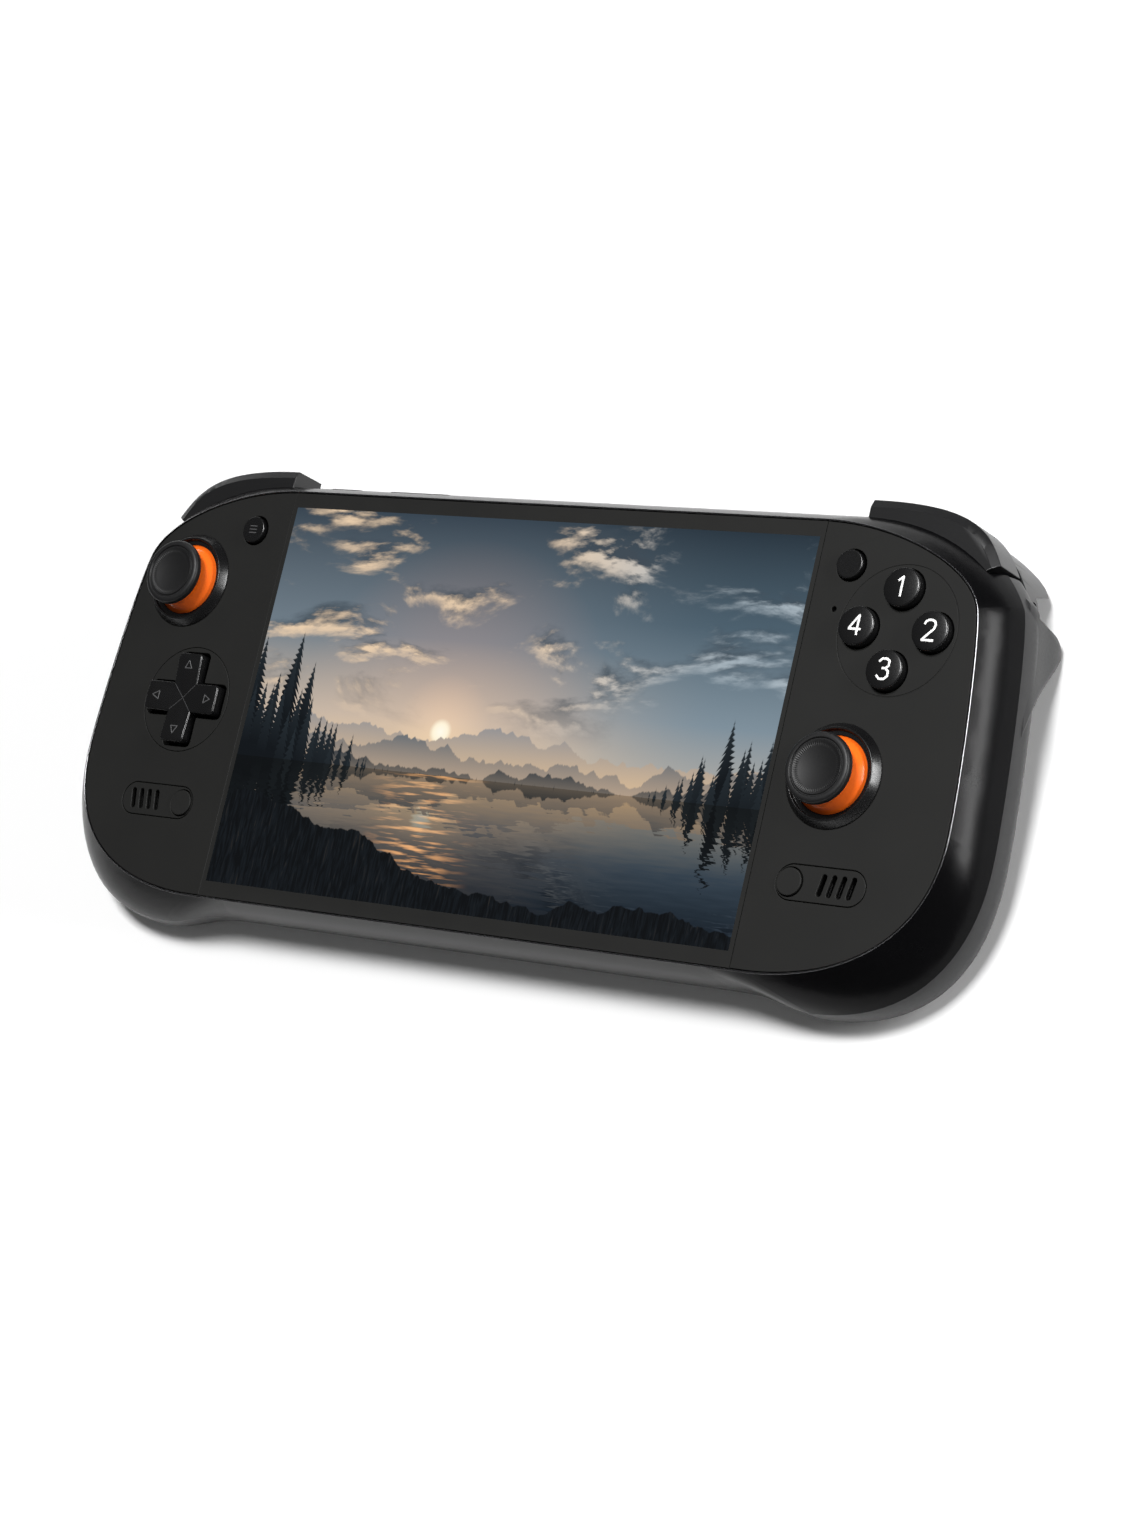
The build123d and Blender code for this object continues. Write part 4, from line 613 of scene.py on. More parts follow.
def hills(tree, across, height, colour):
    """Hills: for each range, noise along s gives a crest, and its tone turns to haze at the foot."""
    for level, rise, crests, top, foot in HILLS:
        crest = node(tree, NOISE, {"noise_dimensions": "1D", "Detail": 8.0, "Roughness": 0.56,
                                   "Scale": crests}, across)
        crest = node(tree, MATH, MULTIPLY_ADD, crest, rise * 2, level - rise)
        depth = node(tree, MATH, SUBTRACT, crest, height)
        cut = node(tree, RANGE, None, depth, 0.0, 0.004)
        haze = node(tree, RANGE, None, height, level + rise * 0.3, SHORE)
        tone = ramp(tree, haze, (0.0, top), (1.0, foot))
        colour = node(tree, MIX, COLOURS, cut, colour, tone.outputs[0])
    return colour


def firs(tree, across, height, colour):
    """Firs: each cell of a row holds one, a narrow triangle whose width steps back at every branch."""
    left = node(tree, RANGE, SMOOTH, across, 0.5, 0.0, 0.0, 0.42)
    right = node(tree, RANGE, SMOOTH, across, 1.22, 1.6, 0.0, 0.3)
    stand = node(tree, MATH, ADD, left, right)
    stand = node(tree, MATH, ADD, stand, 0.014)
    for count, offset, share in FIRS:
        place = node(tree, MATH, MULTIPLY_ADD, across, count, offset)
        cell = node(tree, MATH, FLOOR, place)
        chance = node(tree, "ShaderNodeTexWhiteNoise", {"noise_dimensions": "1D"}, cell)
        size = node(tree, RANGE, None, chance.outputs["Value"], 0.0, 1.0, share * 0.4, share)
        tall = node(tree, MATH, MULTIPLY_ADD, stand, size, SHORE)
        room = node(tree, MATH, SUBTRACT, tall, height)
        step = node(tree, MATH, MULTIPLY, room, BRANCHES)
        step = node(tree, MATH, FRACT, step)
        step = node(tree, RANGE, None, step, 0.0, 1.0, 0.45, 1.0)
        half = node(tree, MATH, MULTIPLY, room, step)
        half = node(tree, MATH, MULTIPLY, half, count * FIR_WIDTH)
        inside = node(tree, MATH, FRACT, place)
        aside = node(tree, MATH, SUBTRACT, inside, 0.5)
        aside = node(tree, MATH, ABSOLUTE, aside)
        gap = node(tree, MATH, SUBTRACT, half, aside)
        cut = node(tree, RANGE, None, gap, 0.0, 0.05)
        tone = ramp(tree, room, (0.0, "#232B31"), (0.16, "#0B1015"))
        colour = node(tree, MIX, COLOURS, cut, colour, tone.outputs[0])
    return colour


def water_and_bank(tree, across, height, ripples, under, colour):
    """Water darkens towards the viewer, with warm glints in a column under the sun.

    In front of it is a grassy bank, whose crest is a noise along s that rises to the left.
    """
    deep = ramp(tree, height, (0.0, "#2A3440"), (0.16, "#6D7680"), (SHORE, "#D2CCC2"))
    colour = node(tree, MIX, {**COLOURS, "blend_type": "MULTIPLY"}, under, colour, deep.outputs[0])
    off = node(tree, MATH, SUBTRACT, across, SUN[0])
    off = node(tree, MATH, ABSOLUTE, off)
    column = node(tree, RANGE, SMOOTH, off, 0.2, 0.0)
    crest = node(tree, RANGE, None, ripples, 0.5, 0.66)
    shine = node(tree, MATH, MULTIPLY, column, crest)
    shine = node(tree, MATH, MULTIPLY, shine, under)
    colour = node(tree, MIX, SCREENED, shine, colour, linear("#E8A562"))
    line = node(tree, NOISE, {"noise_dimensions": "1D", "Scale": 3.4, "Detail": 8.0}, across)
    lift = node(tree, RANGE, SMOOTH, across, 0.95, 0.0, 0.0, 0.17)
    lift = node(tree, MATH, MULTIPLY_ADD, line, BANK[0], lift)
    depth = node(tree, MATH, SUBTRACT, lift, height)
    depth = node(tree, MATH, SUBTRACT, depth, BANK[1])
    cut = node(tree, RANGE, None, depth, 0.0, 0.003)
    flat = node(tree, "ShaderNodeCombineXYZ", None, across, height)
    drawn = node(tree, "ShaderNodeMapping", {"Rotation": (0, 0, 0.12), "Scale": (130.0, 16.0, 1.0)}, flat)
    blades = node(tree, NOISE, {"Scale": 1.0, "Detail": 5.0, "Distortion": 0.8}, drawn)
    tone = ramp(tree, blades, (0.42, "#06080B"), (0.62, "#11161B"), (0.8, "#2E2822"))
    return node(tree, MIX, COLOURS, cut, colour, tone.outputs[0])


def lit_display():
    """Display under coated glass: it shines with a picture of a wooded lake at dusk.

    s runs across and v up. Under the shore v is mirrored, so that the water shows the sky, hills
    and firs again, and a noise drawn long across shifts both to break them into ripples.
    """
    name = "Lit display under coated glass"
    if name in bpy.data.materials:
        return bpy.data.materials[name]
    made, tree, shader = blank(name, Base_Color=linear("#060708"), Roughness=0.2, IOR=1.5,
                               Specular_IOR_Level=0.25, Emission_Strength=1.0)
    tall = SCREEN[1] / 1000
    corner = laid([-SCREEN[0] / 2, -SCREEN[1] / 2, 0])
    place = node(tree, "ShaderNodeTexCoord").outputs["Object"]
    flat = node(tree, "ShaderNodeMapping", {"vector_type": "TEXTURE", "Location": corner,
                                            "Rotation": (TILT, 0, 0), "Scale": (tall, tall, tall)}, place)
    axes = node(tree, "ShaderNodeSeparateXYZ", None, flat)
    s, v = axes.outputs[0], axes.outputs[1]
    drawn = node(tree, "ShaderNodeMapping", {"Scale": RIPPLES}, flat)
    ripples = node(tree, NOISE, {"Scale": 1.0, "Detail": 3.0}, drawn)
    under = node(tree, MATH, LESS_THAN, v, SHORE)
    gap = node(tree, MATH, SUBTRACT, v, SHORE)
    gap = node(tree, MATH, ABSOLUTE, gap)
    sway = node(tree, MATH, SUBTRACT, ripples, 0.5)
    sway = node(tree, MATH, MULTIPLY, sway, gap)
    sway = node(tree, MATH, MULTIPLY, sway, under)
    across = node(tree, MATH, MULTIPLY_ADD, sway, SWAY[0], s)
    height = node(tree, MATH, MULTIPLY_ADD, sway, SWAY[1], gap)
    height = node(tree, MATH, ADD, height, SHORE)
    spot = node(tree, "ShaderNodeCombineXYZ", None, across, height)
    colour = dusk_sky(tree, across, height, spot)
    colour = hills(tree, across, height, colour)
    colour = firs(tree, across, height, colour)
    colour = water_and_bank(tree, s, v, ripples, under, colour)
    tree.links.new(next(o for o in colour.outputs if o.enabled), shader.inputs["Emission Color"])
    return made


def dress_cad():
    """Gives every CAD node its finish, in all its material slots."""
    for name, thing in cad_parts.items():
        made = lit_display() if name == "display_panel" else finish(finish_of(name))
        if not thing.material_slots:
            thing.data.materials.append(made)
        for slot in thing.material_slots:
            slot.material = made


# Pieces


def bead(path, width, height, base, steps=5, closed=False):
    """A low bead: half a round profile carried along a flat path on the surface z = base(x, y)."""
    run = np.roll(path, -1, 0) - np.roll(path, 1, 0) if closed else np.gradient(path, axis=0)
    run = run / np.linalg.norm(run, axis=1)[:, None]
    aside = np.stack([run[:, 1], -run[:, 0]], -1)
    turn = np.linspace(0, math.pi, steps)
    flat = path[None] + aside[None] * (width / 2 * np.cos(turn))[:, None, None]
    tall = base(flat[..., 0], flat[..., 1]) + (height * np.sin(turn) - SUNK)[:, None]
    verts = np.concatenate([flat, tall[..., None]], -1).reshape(-1, 3)
    return verts, [grid_faces(steps, len(path), round_columns=closed, flip=True)]


def stroke(points, gap=0.12):
    """A run of straight lines as evenly spaced points."""
    points = np.asarray(points, float)
    parts = [straight(a, b, max(2, int(np.linalg.norm(b - a) / gap)))
             for a, b in zip(points[:-1], points[1:])]
    return np.concatenate(parts + [points[-1:]])


def gathered(*shapes):
    """Several surfaces as one: vertices one after another, faces counted on."""
    verts, faces, start = [], [], 0
    for v, f in shapes:
        verts.append(v)
        faces += [part + start for part in f]
        start += len(v)
    return np.concatenate(verts), faces


def place_piece(name, shape, body, *nodes, made_of=None):
    """Lays a surface from the face's frame into its place, dressed like its CAD node or as told."""
    return put_mesh(name, laid(shape[0]), shape[1], body, finish(made_of or finish_of(nodes[0])), *nodes)


def right_part(ring, edge):
    """The part of an outline right of a line: its points and the two cut ends."""
    low = (ring[:, 0] > edge) & (ring[:, 1] < 0)
    first = int(np.argmax(low & ~np.roll(low, 1)))
    ring = np.roll(ring, -first, 0)
    ring = ring[: int(np.argmax(ring[:, 0] <= edge))]
    return np.concatenate([[[edge, ring[0, 1]]], ring, [[edge, ring[-1, 1]]]])


def make_panels():
    """The two charcoal plates: the face's outline cut at the glass, less a loop for each hole."""
    edge = size_of("panel_edge")
    plan = right_part(outline(EDGE_GAP), GLASS_HALF + PANEL_GAP)
    for side in ("left", "right"):
        pill = middle(side + "_speaker_grille")
        holes = [round_loop(*middle(side + "_stick_ring"), STICK_HOLE),
                 round_loop(*middle(side + "_menu_button"), MENU_HOLE),
                 slot_loop(*pill, PILL[0] + GRILLE_GAP * 2, PILL[1] + GRILLE_GAP * 2)]
        if side == "left":
            holes.append(round_loop(*middle("dpad_disc"), PAD_HOLE, 120))
            shape = plate((plan * [-1, 1])[::-1], holes, 0.0, -PANEL_DEPTH, edge)
        else:
            pad = middle("face_button_rubber")
            holes += [round_loop(*LIGHT, 32), round_loop(*pad, RING_GROOVE[1], GROOVE_ROUND)]
            caps = [round_loop(*middle("face_button_" + way), FACE_HOLE) for way in WAYS]
            rim = round_loop(*pad, RING_GROOVE[0], GROOVE_ROUND)
            island = plate(rim, caps, 0.0, -PANEL_DEPTH, edge / 2)
            groove = lathe(np.array(GROOVE_BED) + [sum(RING_GROOVE) / 2, 0], *pad, GROOVE_ROUND)
            shape = gathered(plate(plan, holes, 0.0, -PANEL_DEPTH, edge), island, groove)
        place_piece(side + "_panel", shape, "casing", side + "_face_panel")


def make_screen():
    """Cover glass: a printed border with a window, and the lit picture just under its front."""
    ring = outline(EDGE_GAP)
    inside = ring[np.abs(ring[:, 0]) < GLASS_HALF]
    low, high = inside[inside[:, 1] < 0], inside[inside[:, 1] > 0]
    low, high = low[np.argsort(low[:, 0])], high[np.argsort(-high[:, 0])]
    ends = [[(-GLASS_HALF, low[0, 1])], low, [(GLASS_HALF, low[-1, 1])],
            [(GLASS_HALF, high[0, 1])], high, [(-GLASS_HALF, high[-1, 1])]]
    w, h = SCREEN[0] / 2, SCREEN[1] / 2
    window = np.array([(-w, -h), (w, -h), (w, h), (-w, h)])
    border = plate(np.concatenate([np.asarray(end, float) for end in ends]), [window], 0.0,
                   -PANEL_DEPTH, 0.0, 1)
    place_piece("screen_border", border, "casing", "cover_glass")
    picture = plate(window, [], -SUNK, -PANEL_DEPTH, 0.0, 1)
    put_mesh("screen_picture", laid(picture[0]), picture[1], "casing", lit_display(), "cover_glass")


def make_sticks():
    """Both sticks, turned from profiles: ring, orange dome, and rubber cap with a ribbed dish."""
    for side in ("left", "right"):
        at = middle(side + "_stick_ring")
        low, high = face_box(side + "_stick_ring")
        foot, top, wide = low[2], high[2], (high[0] - low[0]) / 2
        level = np.linspace(*SOCKET_LEVELS, 6)
        inner = np.stack([np.sqrt(SOCKET ** 2 - level ** 2), level + STICK_PIVOT], -1)
        wall = STICK_HOLE - 0.05
        lip = softened([inner[-1], *((r, top - fall) for r, fall in LIP), (wide, 0.02), (wall, 0.0)],
                       LIP_ROUNDINGS)
        ring = np.concatenate([inner, lip, [(wall, 0.0), (wall, foot)]])
        place_piece(side + "_ring", lathe(ring, *at, ROUND, True), "casing", side + "_stick_ring")

        turn = np.radians(np.linspace(*DOME_ANGLES, 48))
        arc = np.stack([np.sin(turn), np.cos(turn)], -1)
        dome = np.concatenate([arc * DOME, arc[::-1] * (DOME - DOME_WALL)]) + [0, STICK_PIVOT]
        place_piece(side + "_dome", lathe(dome, *at, ROUND, True), side + "_stick", side + "_stick_dome")
        place_piece(side + "_cap", cap_shape(side + "_stick_cap", at), side + "_stick",
                    side + "_stick_cap")


def cap_shape(name, at):
    """A stick cap: a turned profile whose dish is raised into ribs by a cosine of the angle."""
    low, high = face_box(name)
    wide, top, foot = half_width(name), high[2], low[2]
    collar, shaft = SHAFT
    r = np.linspace(0, wide - DISH_END, 28)
    dish = np.stack([r, top - DISH * (1 - (r / (wide - DISH_LEVEL)) ** 2) - 0.02], -1)
    rim = wide - CAP_RIM
    edge = softened([dish[-1], *((rim - inward, top - fall) for inward, fall in RIM_STEPS),
                     (rim, top), (wide, top), (wide, top - CAP_TALL), (collar, top - CAP_TALL),
                     (collar, COLLAR_FOOT)], CAP_ROUNDINGS, 9)
    cap = np.concatenate([dish, edge, [(collar, COLLAR_FOOT), (shaft, COLLAR_FOOT), (shaft, foot),
                                       (0, foot)]])
    verts, faces = lathe(cap, *at, CAP_ROUND)
    verts = verts.reshape(len(cap), CAP_ROUND, 3)
    turn = np.arange(CAP_ROUND) / CAP_ROUND * 2 * math.pi
    ribbed = np.clip(1 - np.abs(cap[:, 0] - (rim - RIBS[0])) / RIBS[1], 0, 1) * (cap[:, 1] > top - 1)
    ribs = bpy.context.scene.console_sizes.cap_ribs
    verts[..., 2] += size_of("rib_depth") / 2 * ribbed[:, None] * (np.cos(ribs * turn) - 1)[None]
    return joined(verts.reshape(-1, 3), faces)


def key_shape(name, edge, crown=0.0, lip=KEY_LIP, stem=1.2):
    """A round key: crowned top, rounded edge, wall, flange and stem, turned about its middle."""
    low, high = face_box(name)
    wide, top, foot = half_width(name) - lip, high[2], low[2]
    r = np.linspace(0, wide - edge, 14)
    crest = top - crown_fall(r, wide, crown)
    corner = (wide, crest[-1] - crown / 4)
    rounding = softened([(r[-2], crest[-2]), corner, (wide, KEY_WALL), (wide + lip, KEY_WALL),
                         (wide + lip, KEY_FLANGE), (stem, KEY_FLANGE)], [edge, 0.1, 0.1, 0.1], 8)
    tail = [(stem, KEY_FLANGE), (stem, foot), (0, foot)] if foot < KEY_FLANGE - 0.1 else [(0, KEY_FLANGE)]
    profile = np.concatenate([np.stack([r[:-1], crest[:-1]], -1), rounding, tail])
    return closed_lathe(profile, *middle(name), ROUND)


def crown_fall(r, wide, crown):
    """How far a crowned top has fallen at radius r: ball - sqrt(ball^2 - r^2).

    The ball is the one whose cap of half width wide is crown high.
    """
    if not crown:
        return 0 * r
    ball = (wide ** 2 + crown ** 2) / (2 * crown)
    return ball - np.sqrt(ball ** 2 - r ** 2)


# Strokes of the numbers, one unit wide and DIGIT_TALL high about the button's middle
DIGIT_TALL = 1.5
DIGITS = (
    [[(-0.28, 0.42), (0.08, 0.75), (0.08, -0.75)]],
    [[(-0.45, 0.4), (-0.38, 0.62), (-0.15, 0.75), (0.15, 0.75), (0.38, 0.62), (0.45, 0.38),
      (0.38, 0.1), (-0.48, -0.75), (0.5, -0.75)]],
    [[(-0.42, 0.5), (-0.2, 0.75), (0.18, 0.75), (0.42, 0.58), (0.42, 0.22), (0.2, 0.04), (-0.1, 0.03)],
     [(0.2, 0.04), (0.46, -0.18), (0.46, -0.52), (0.2, -0.75), (-0.2, -0.75), (-0.46, -0.5)]],
    [[(0.22, -0.75), (0.22, 0.75), (-0.5, -0.3), (0.52, -0.3)]],
)


def make_face_buttons():
    """Four crowned round keys, each with a plain number as beads of white ink on its crown."""
    for way, number in zip(WAYS, DIGITS):
        name = "face_button_" + way
        x, y = middle(name)
        wide, top = half_width(name) - KEY_LIP, face_box(name)[1][2]
        place_piece(way + "_button", key_shape(name, size_of("key_edge"), CROWN), "button_" + way, name)

        def level(px, py, x=x, y=y, wide=wide, top=top):
            return top - crown_fall(np.hypot(px - x, py - y), wide, CROWN)

        unit = size_of("number_height") / DIGIT_TALL
        inked = [bead(stroke(np.array(run) * unit + [x, y]), size_of("number_stroke"), INK, level)
                 for run in number]
        place_piece(way + "_number", gathered(*inked), "button_" + way, made_of="White ink, pad printed")


def make_small_buttons():
    """Menu buttons, three raised lines on the left one, and the small buttons in the pills."""
    for side in ("left", "right"):
        for short, long, edge, lip in SMALL_KEYS:
            place_piece(side + short, key_shape(side + long, edge, lip=lip), side + short, side + long)
    x, y = middle("left_menu_button")
    top = face_box("left_menu_button")[1][2]
    lines = [bead(stroke([(x - MENU_LINE, y + rise), (x + MENU_LINE, y + rise)]), *MENU_BEAD,
                  lambda px, py: top + 0 * px) for rise in MENU_LINES]
    place_piece("left_menu_lines", gathered(*lines), "left_menu", made_of="Grey ink, pad printed")


def make_grilles():
    """Pill-shaped grille plates: four slanted slots and the hole of the small button."""
    for side, away in (("left", -1), ("right", 1)):
        x, y = middle(side + "_speaker_grille")
        slots = [slot_loop(x + away * SLOTS_ASIDE + (i - (SLOTS - 1) / 2) * SLOT_STEP, y, *SLOT,
                           math.radians(90 - away * SLOT_SLANT)) for i in range(SLOTS)]
        hole = round_loop(*middle(side + "_pill_button"), PILL_HOLE)
        shape = plate(slot_loop(x, y, *PILL, 0, 96), [hole, *slots], 0.0, -PANEL_DEPTH,
                      size_of("panel_edge"))
        place_piece(side + "_grille", shape, "casing", side + "_speaker_grille")


def cross_loop(reach, half, corner):
    """A cross, counter-clockwise: one arm with a rounded end, turned four times by a quarter."""
    a = np.linspace(0, math.pi / 2, 7)
    tip = np.stack([reach - corner + corner * np.sin(a), -half + corner - corner * np.cos(a)], -1)
    arm = np.concatenate([[(half, -half), (CROSS_SPLIT, -half)], tip, tip[::-1] * [1, -1],
                          [(CROSS_SPLIT, half)]])
    parts, turn = [], np.eye(2)
    for _ in range(4):
        parts.append(arm @ turn)
        turn = turn @ np.array([[0, 1], [-1, 0]])
    return np.concatenate(parts)


def cross_level(x, y):
    """Height of the cross: level tips, and four slopes that fall evenly to the middle."""
    top = face_box("dpad_cross")[1][2]
    return top - CROSS_DIP * np.clip(1 - np.maximum(np.abs(x), np.abs(y)) / CROSS_SPLIT, 0, 1)


def cross_shape():
    """The cross: rings of its outline drawn in by a quarter round at the top, closed by flat facets."""
    turn = np.linspace(0, math.pi / 2, 7)
    rings = [cross_loop(*(size - d for size in CROSS)) for d in CROSS_EDGE * (1 - np.sin(turn))]
    heights = [cross_level(r[:, 0], r[:, 1]) - d for r, d in zip(rings, CROSS_EDGE * (1 - np.cos(turn)))]
    rings.append(cross_loop(*CROSS))
    heights.append(np.full(len(rings[-1]), CROSS_FOOT))
    verts = np.concatenate([np.column_stack(pair) for pair in zip(rings, heights)])
    faces = [grid_faces(len(rings), len(rings[0]), round_columns=True, flip=True)]
    count, start = len(rings[0]) // 4, len(verts)
    for arm in range(4):
        first = arm * count
        near = [first, first + 1, first + count - 1, (first + count) % (count * 4)]
        faces += [np.array([[start, a, b]]) for a, b in zip(near[:-1], near[1:])]
        faces += [np.array([[first + 1, first + k, first + k + 1]]) for k in range(2, count - 1)]
    return np.concatenate([verts, [[0, 0, cross_level(0, 0)]]]), faces


def crease(piece, centre):
    """Keeps the edges that meet in one vertex crisp."""
    mesh = piece.data
    ends = np.empty(len(mesh.edges) * 2, np.int32)
    sharp = np.empty(len(mesh.edges), bool)
    mesh.edges.foreach_get("vertices", ends)
    mesh.edges.foreach_get("use_edge_sharp", sharp)
    mesh.edges.foreach_set("use_edge_sharp", sharp | (ends.reshape(-1, 2) == centre).any(1))
    mesh.update()


def make_pad():
    """D-pad: disc with a cross-shaped well, cross on its flange, triangles, and grey lines along its
    creases that are painted highlights.
    """
    x, y = middle("dpad_disc")
    low, high = face_box("dpad_disc")
    disc = plate(round_loop(x, y, half_width("dpad_disc"), ROUND), [cross_loop(*WELL) + [x, y]],
                 high[2], low[2], size_of("panel_edge"))
    place_piece("pad_disc", disc, "casing", "dpad_disc")

    foot, (wide, thick) = face_box("dpad_cross")[0][2], CROSS_FLANGE
    under = CROSS_FOOT - thick
    flange = closed_lathe(np.array([(0, CROSS_FOOT), (wide, CROSS_FOOT), (wide, under),
                                    (CROSS_STEM, under), (CROSS_STEM, foot), (0, foot)]), 0, 0)
    verts, faces = gathered(cross_shape(), flange)
    cross = place_piece("pad_cross", (verts + [x, y, 0], faces), "dpad", "dpad_cross")
    crease(cross, len(cross_shape()[0]) - 1)
    marks = [bead(stroke(turned(np.array(ARROW), quarter * math.pi / 2))[:-1], *ARROW_BEAD,
                  cross_level, closed=True) for quarter in range(4)]
    reach = CROSS[1] - CROSS_EDGE
    # Grey lines along the creases: painted highlights where the arms' slopes meet
    for side in ((1, 1), (1, -1)):
        ends = np.array([(-reach, -reach), (reach, reach)]) * side
        marks.append(bead(stroke(ends), *CREASE_HIGHLIGHT_BEAD, cross_level))
    verts, faces = gathered(*marks)
    place_piece("pad_marks", (verts + [x, y, 0], faces), "dpad", made_of="Grey ink, pad printed")


def eased_copy(name, node_name, body, width, angle=32.0):
    """A copy of a CAD node, merged, its flat faces made whole and its sharp edges rounded."""
    copy = bmesh.new()
    copy.from_mesh(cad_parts[node_name].data)
    bmesh.ops.remove_doubles(copy, verts=copy.verts, dist=2e-6)
    bmesh.ops.dissolve_limit(copy, angle_limit=math.radians(0.5), verts=copy.verts, edges=copy.edges)
    mesh = bpy.data.meshes.new(name)
    copy.to_mesh(mesh)
    copy.free()
    piece = added(name, mesh)
    mesh.materials.clear()
    mesh.materials.append(finish(finish_of(node_name)))
    shade(piece, angle)
    bevel = piece.modifiers.new("Edges", "BEVEL")
    bevel.width = width / 1000
    bevel.segments = 3
    bevel.limit_method = "ANGLE"
    bevel.angle_limit = math.radians(angle)
    bevel.harden_normals = True
    bevel.use_clamp_overlap = True
    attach(piece, body)
    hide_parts(node_name)
    return piece


def make_shoulders():
    """Bumpers and triggers with their edges eased."""
    for side in ("left", "right"):
        for key in ("_bumper", "_trigger"):
            eased_copy(side + key + "_cap", side + key, side + key, size_of(key[1:] + "_edge"))


def make_edge_keys():
    """Power key and volume rocker on the top edge, with their edges eased."""
    for key, kind in (("power", "_button"), ("volume", "_rocker")):
        eased_copy(key + "_key", key + kind, key, size_of("key_edge") / 3)


def make_rim_edge():
    """Chrome line round the face: half an ellipse carried along the face's outline."""
    turn = np.linspace(0, math.pi, 9)
    half = RIM_LAND / 2
    inset = -half - (half - SUNK) * np.cos(turn)
    height = size_of("rim_edge") * np.sin(turn) - SUNK
    rings = outline(inset[::-1])
    tall = np.broadcast_to(height[:, None, None], rings.shape[:2] + (1,))
    verts = np.concatenate([rings, tall], -1).reshape(-1, 3)
    faces = [grid_faces(len(turn), rings.shape[1], round_columns=True, flip=True)]
    place_piece("rim_edge", (verts, faces), "casing", made_of="Smoked chrome, vacuum plated")


# Stage

# Each lamp: name, place and size in metres, power in watts
LAMPS = (
    ("Overhead softbox", (0.40, 0.80, 3.50), (1.4, 0.8), 130.0),
    ("Right softbox", (1.22, 0.36, 0.39), (0.80, 0.22), 11.0),
    ("Low back softbox", (-1.25, 1.65, 0.30), (1.6, 0.25), 3.0),
)
FLOOR_REACH = 12.0
# Camera: place in millimetres and axes along the face's, lens and sensor height in millimetres,
# and how far it sees in metres
CAMERA_AT = (594.1, -176.1, 766.2)
CAMERA_AXES = ((0.8043, 0.2230, -0.5508), (-0.0832, 0.9600, 0.2672), (0.5884, -0.1691, 0.7907))
LENS = 87.89
SENSOR = 36.0
SIGHT = 50.0


def paper_backdrop():
    """White paper: matt, lit by the lamps, and lifted a little where the camera or gloss sees it."""
    made, tree, shader = blank("White paper backdrop", Roughness=0.9, Specular_IOR_Level=0.0,
                               Base_Color=list(bpy.context.scene.console_colours.paper),
                               Emission_Color=linear("#FFFFFF"))
    rays = node(tree, "ShaderNodeLightPath").outputs
    seen = node(tree, MATH, MAXIMUM, rays["Is Camera Ray"], rays["Is Transmission Ray"])
    seen = node(tree, MATH, MAXIMUM, seen, rays["Is Glossy Ray"])
    part = node(tree, MATH, MULTIPLY, seen, bpy.context.scene.console_sizes.paper_lift)
    tree.links.new(part.outputs[0], shader.inputs["Emission Strength"])
    return made


def make_stage():
    """Floor, world, lamps, and the camera at the photograph's angle."""
    scene = bpy.context.scene
    scene.view_settings.view_transform = "Standard"
    world = scene.world or bpy.data.worlds.new("Studio")
    scene.world = world
    world.use_nodes = True
    back = world.node_tree.nodes["Background"]
    back.inputs["Color"].default_value = linear("#FFFFFF")
    back.inputs["Strength"].default_value = scene.console_sizes.world_light

    floor = bpy.data.meshes.new("Floor")
    corners = ((-1, -1), (1, -1), (1, 1), (-1, 1))
    floor.from_pydata([(x * FLOOR_REACH, y * FLOOR_REACH, 0) for x, y in corners], [], [(0, 1, 2, 3)])
    floor.materials.append(paper_backdrop())
    ground = added("Floor", floor)

    for name, spot, spread, power in LAMPS:
        lamp = bpy.data.lights.new(name, "AREA")
        lamp.shape = "RECTANGLE"
        lamp.size, lamp.size_y = spread
        lamp.energy = power * scene.console_sizes.lamp_light
        made = added(name, lamp)
        made.location = spot
        made.rotation_euler = (-Vector(spot)).to_track_quat("-Z", "Y").to_euler()

    lens = bpy.data.cameras.new("Camera")
    lens.sensor_fit = "VERTICAL"
    lens.sensor_height = SENSOR
    lens.lens = LENS
    lens.clip_end = SIGHT
    camera = added("Camera", lens)
    matrix = np.eye(4)
    matrix[:3, :3] = np.column_stack([ACROSS, UP, OUT]) @ np.array(CAMERA_AXES).T
    matrix[:3, 3] = laid(CAMERA_AT)
    camera.matrix_world = Matrix(matrix.tolist())
    scene.camera = camera


# Add-on


def length(name, description, millimetres):
    """A length that the user sets: shown in scene units, given here in millimetres."""
    return bpy.props.FloatProperty(name=name, description=description, default=millimetres / 1000,
                                   min=0.0, precision=5, subtype="DISTANCE", unit="LENGTH")


def tint(name, description, hex_colour):
    """A colour that the user sets, given here in sRGB hex."""
    return bpy.props.FloatVectorProperty(name=name, description=description, size=4, min=0.0, max=1.0,
                                         default=linear(hex_colour), subtype="COLOR")


def share(name, description, default, most):
    """A factor that the user sets."""
    return bpy.props.FloatProperty(name=name, description=description, default=default, min=0.0,
                                   max=most, subtype="FACTOR")


def size_of(name):
    """One of the user's lengths, in millimetres."""
    return getattr(bpy.context.scene.console_sizes, name) * 1000


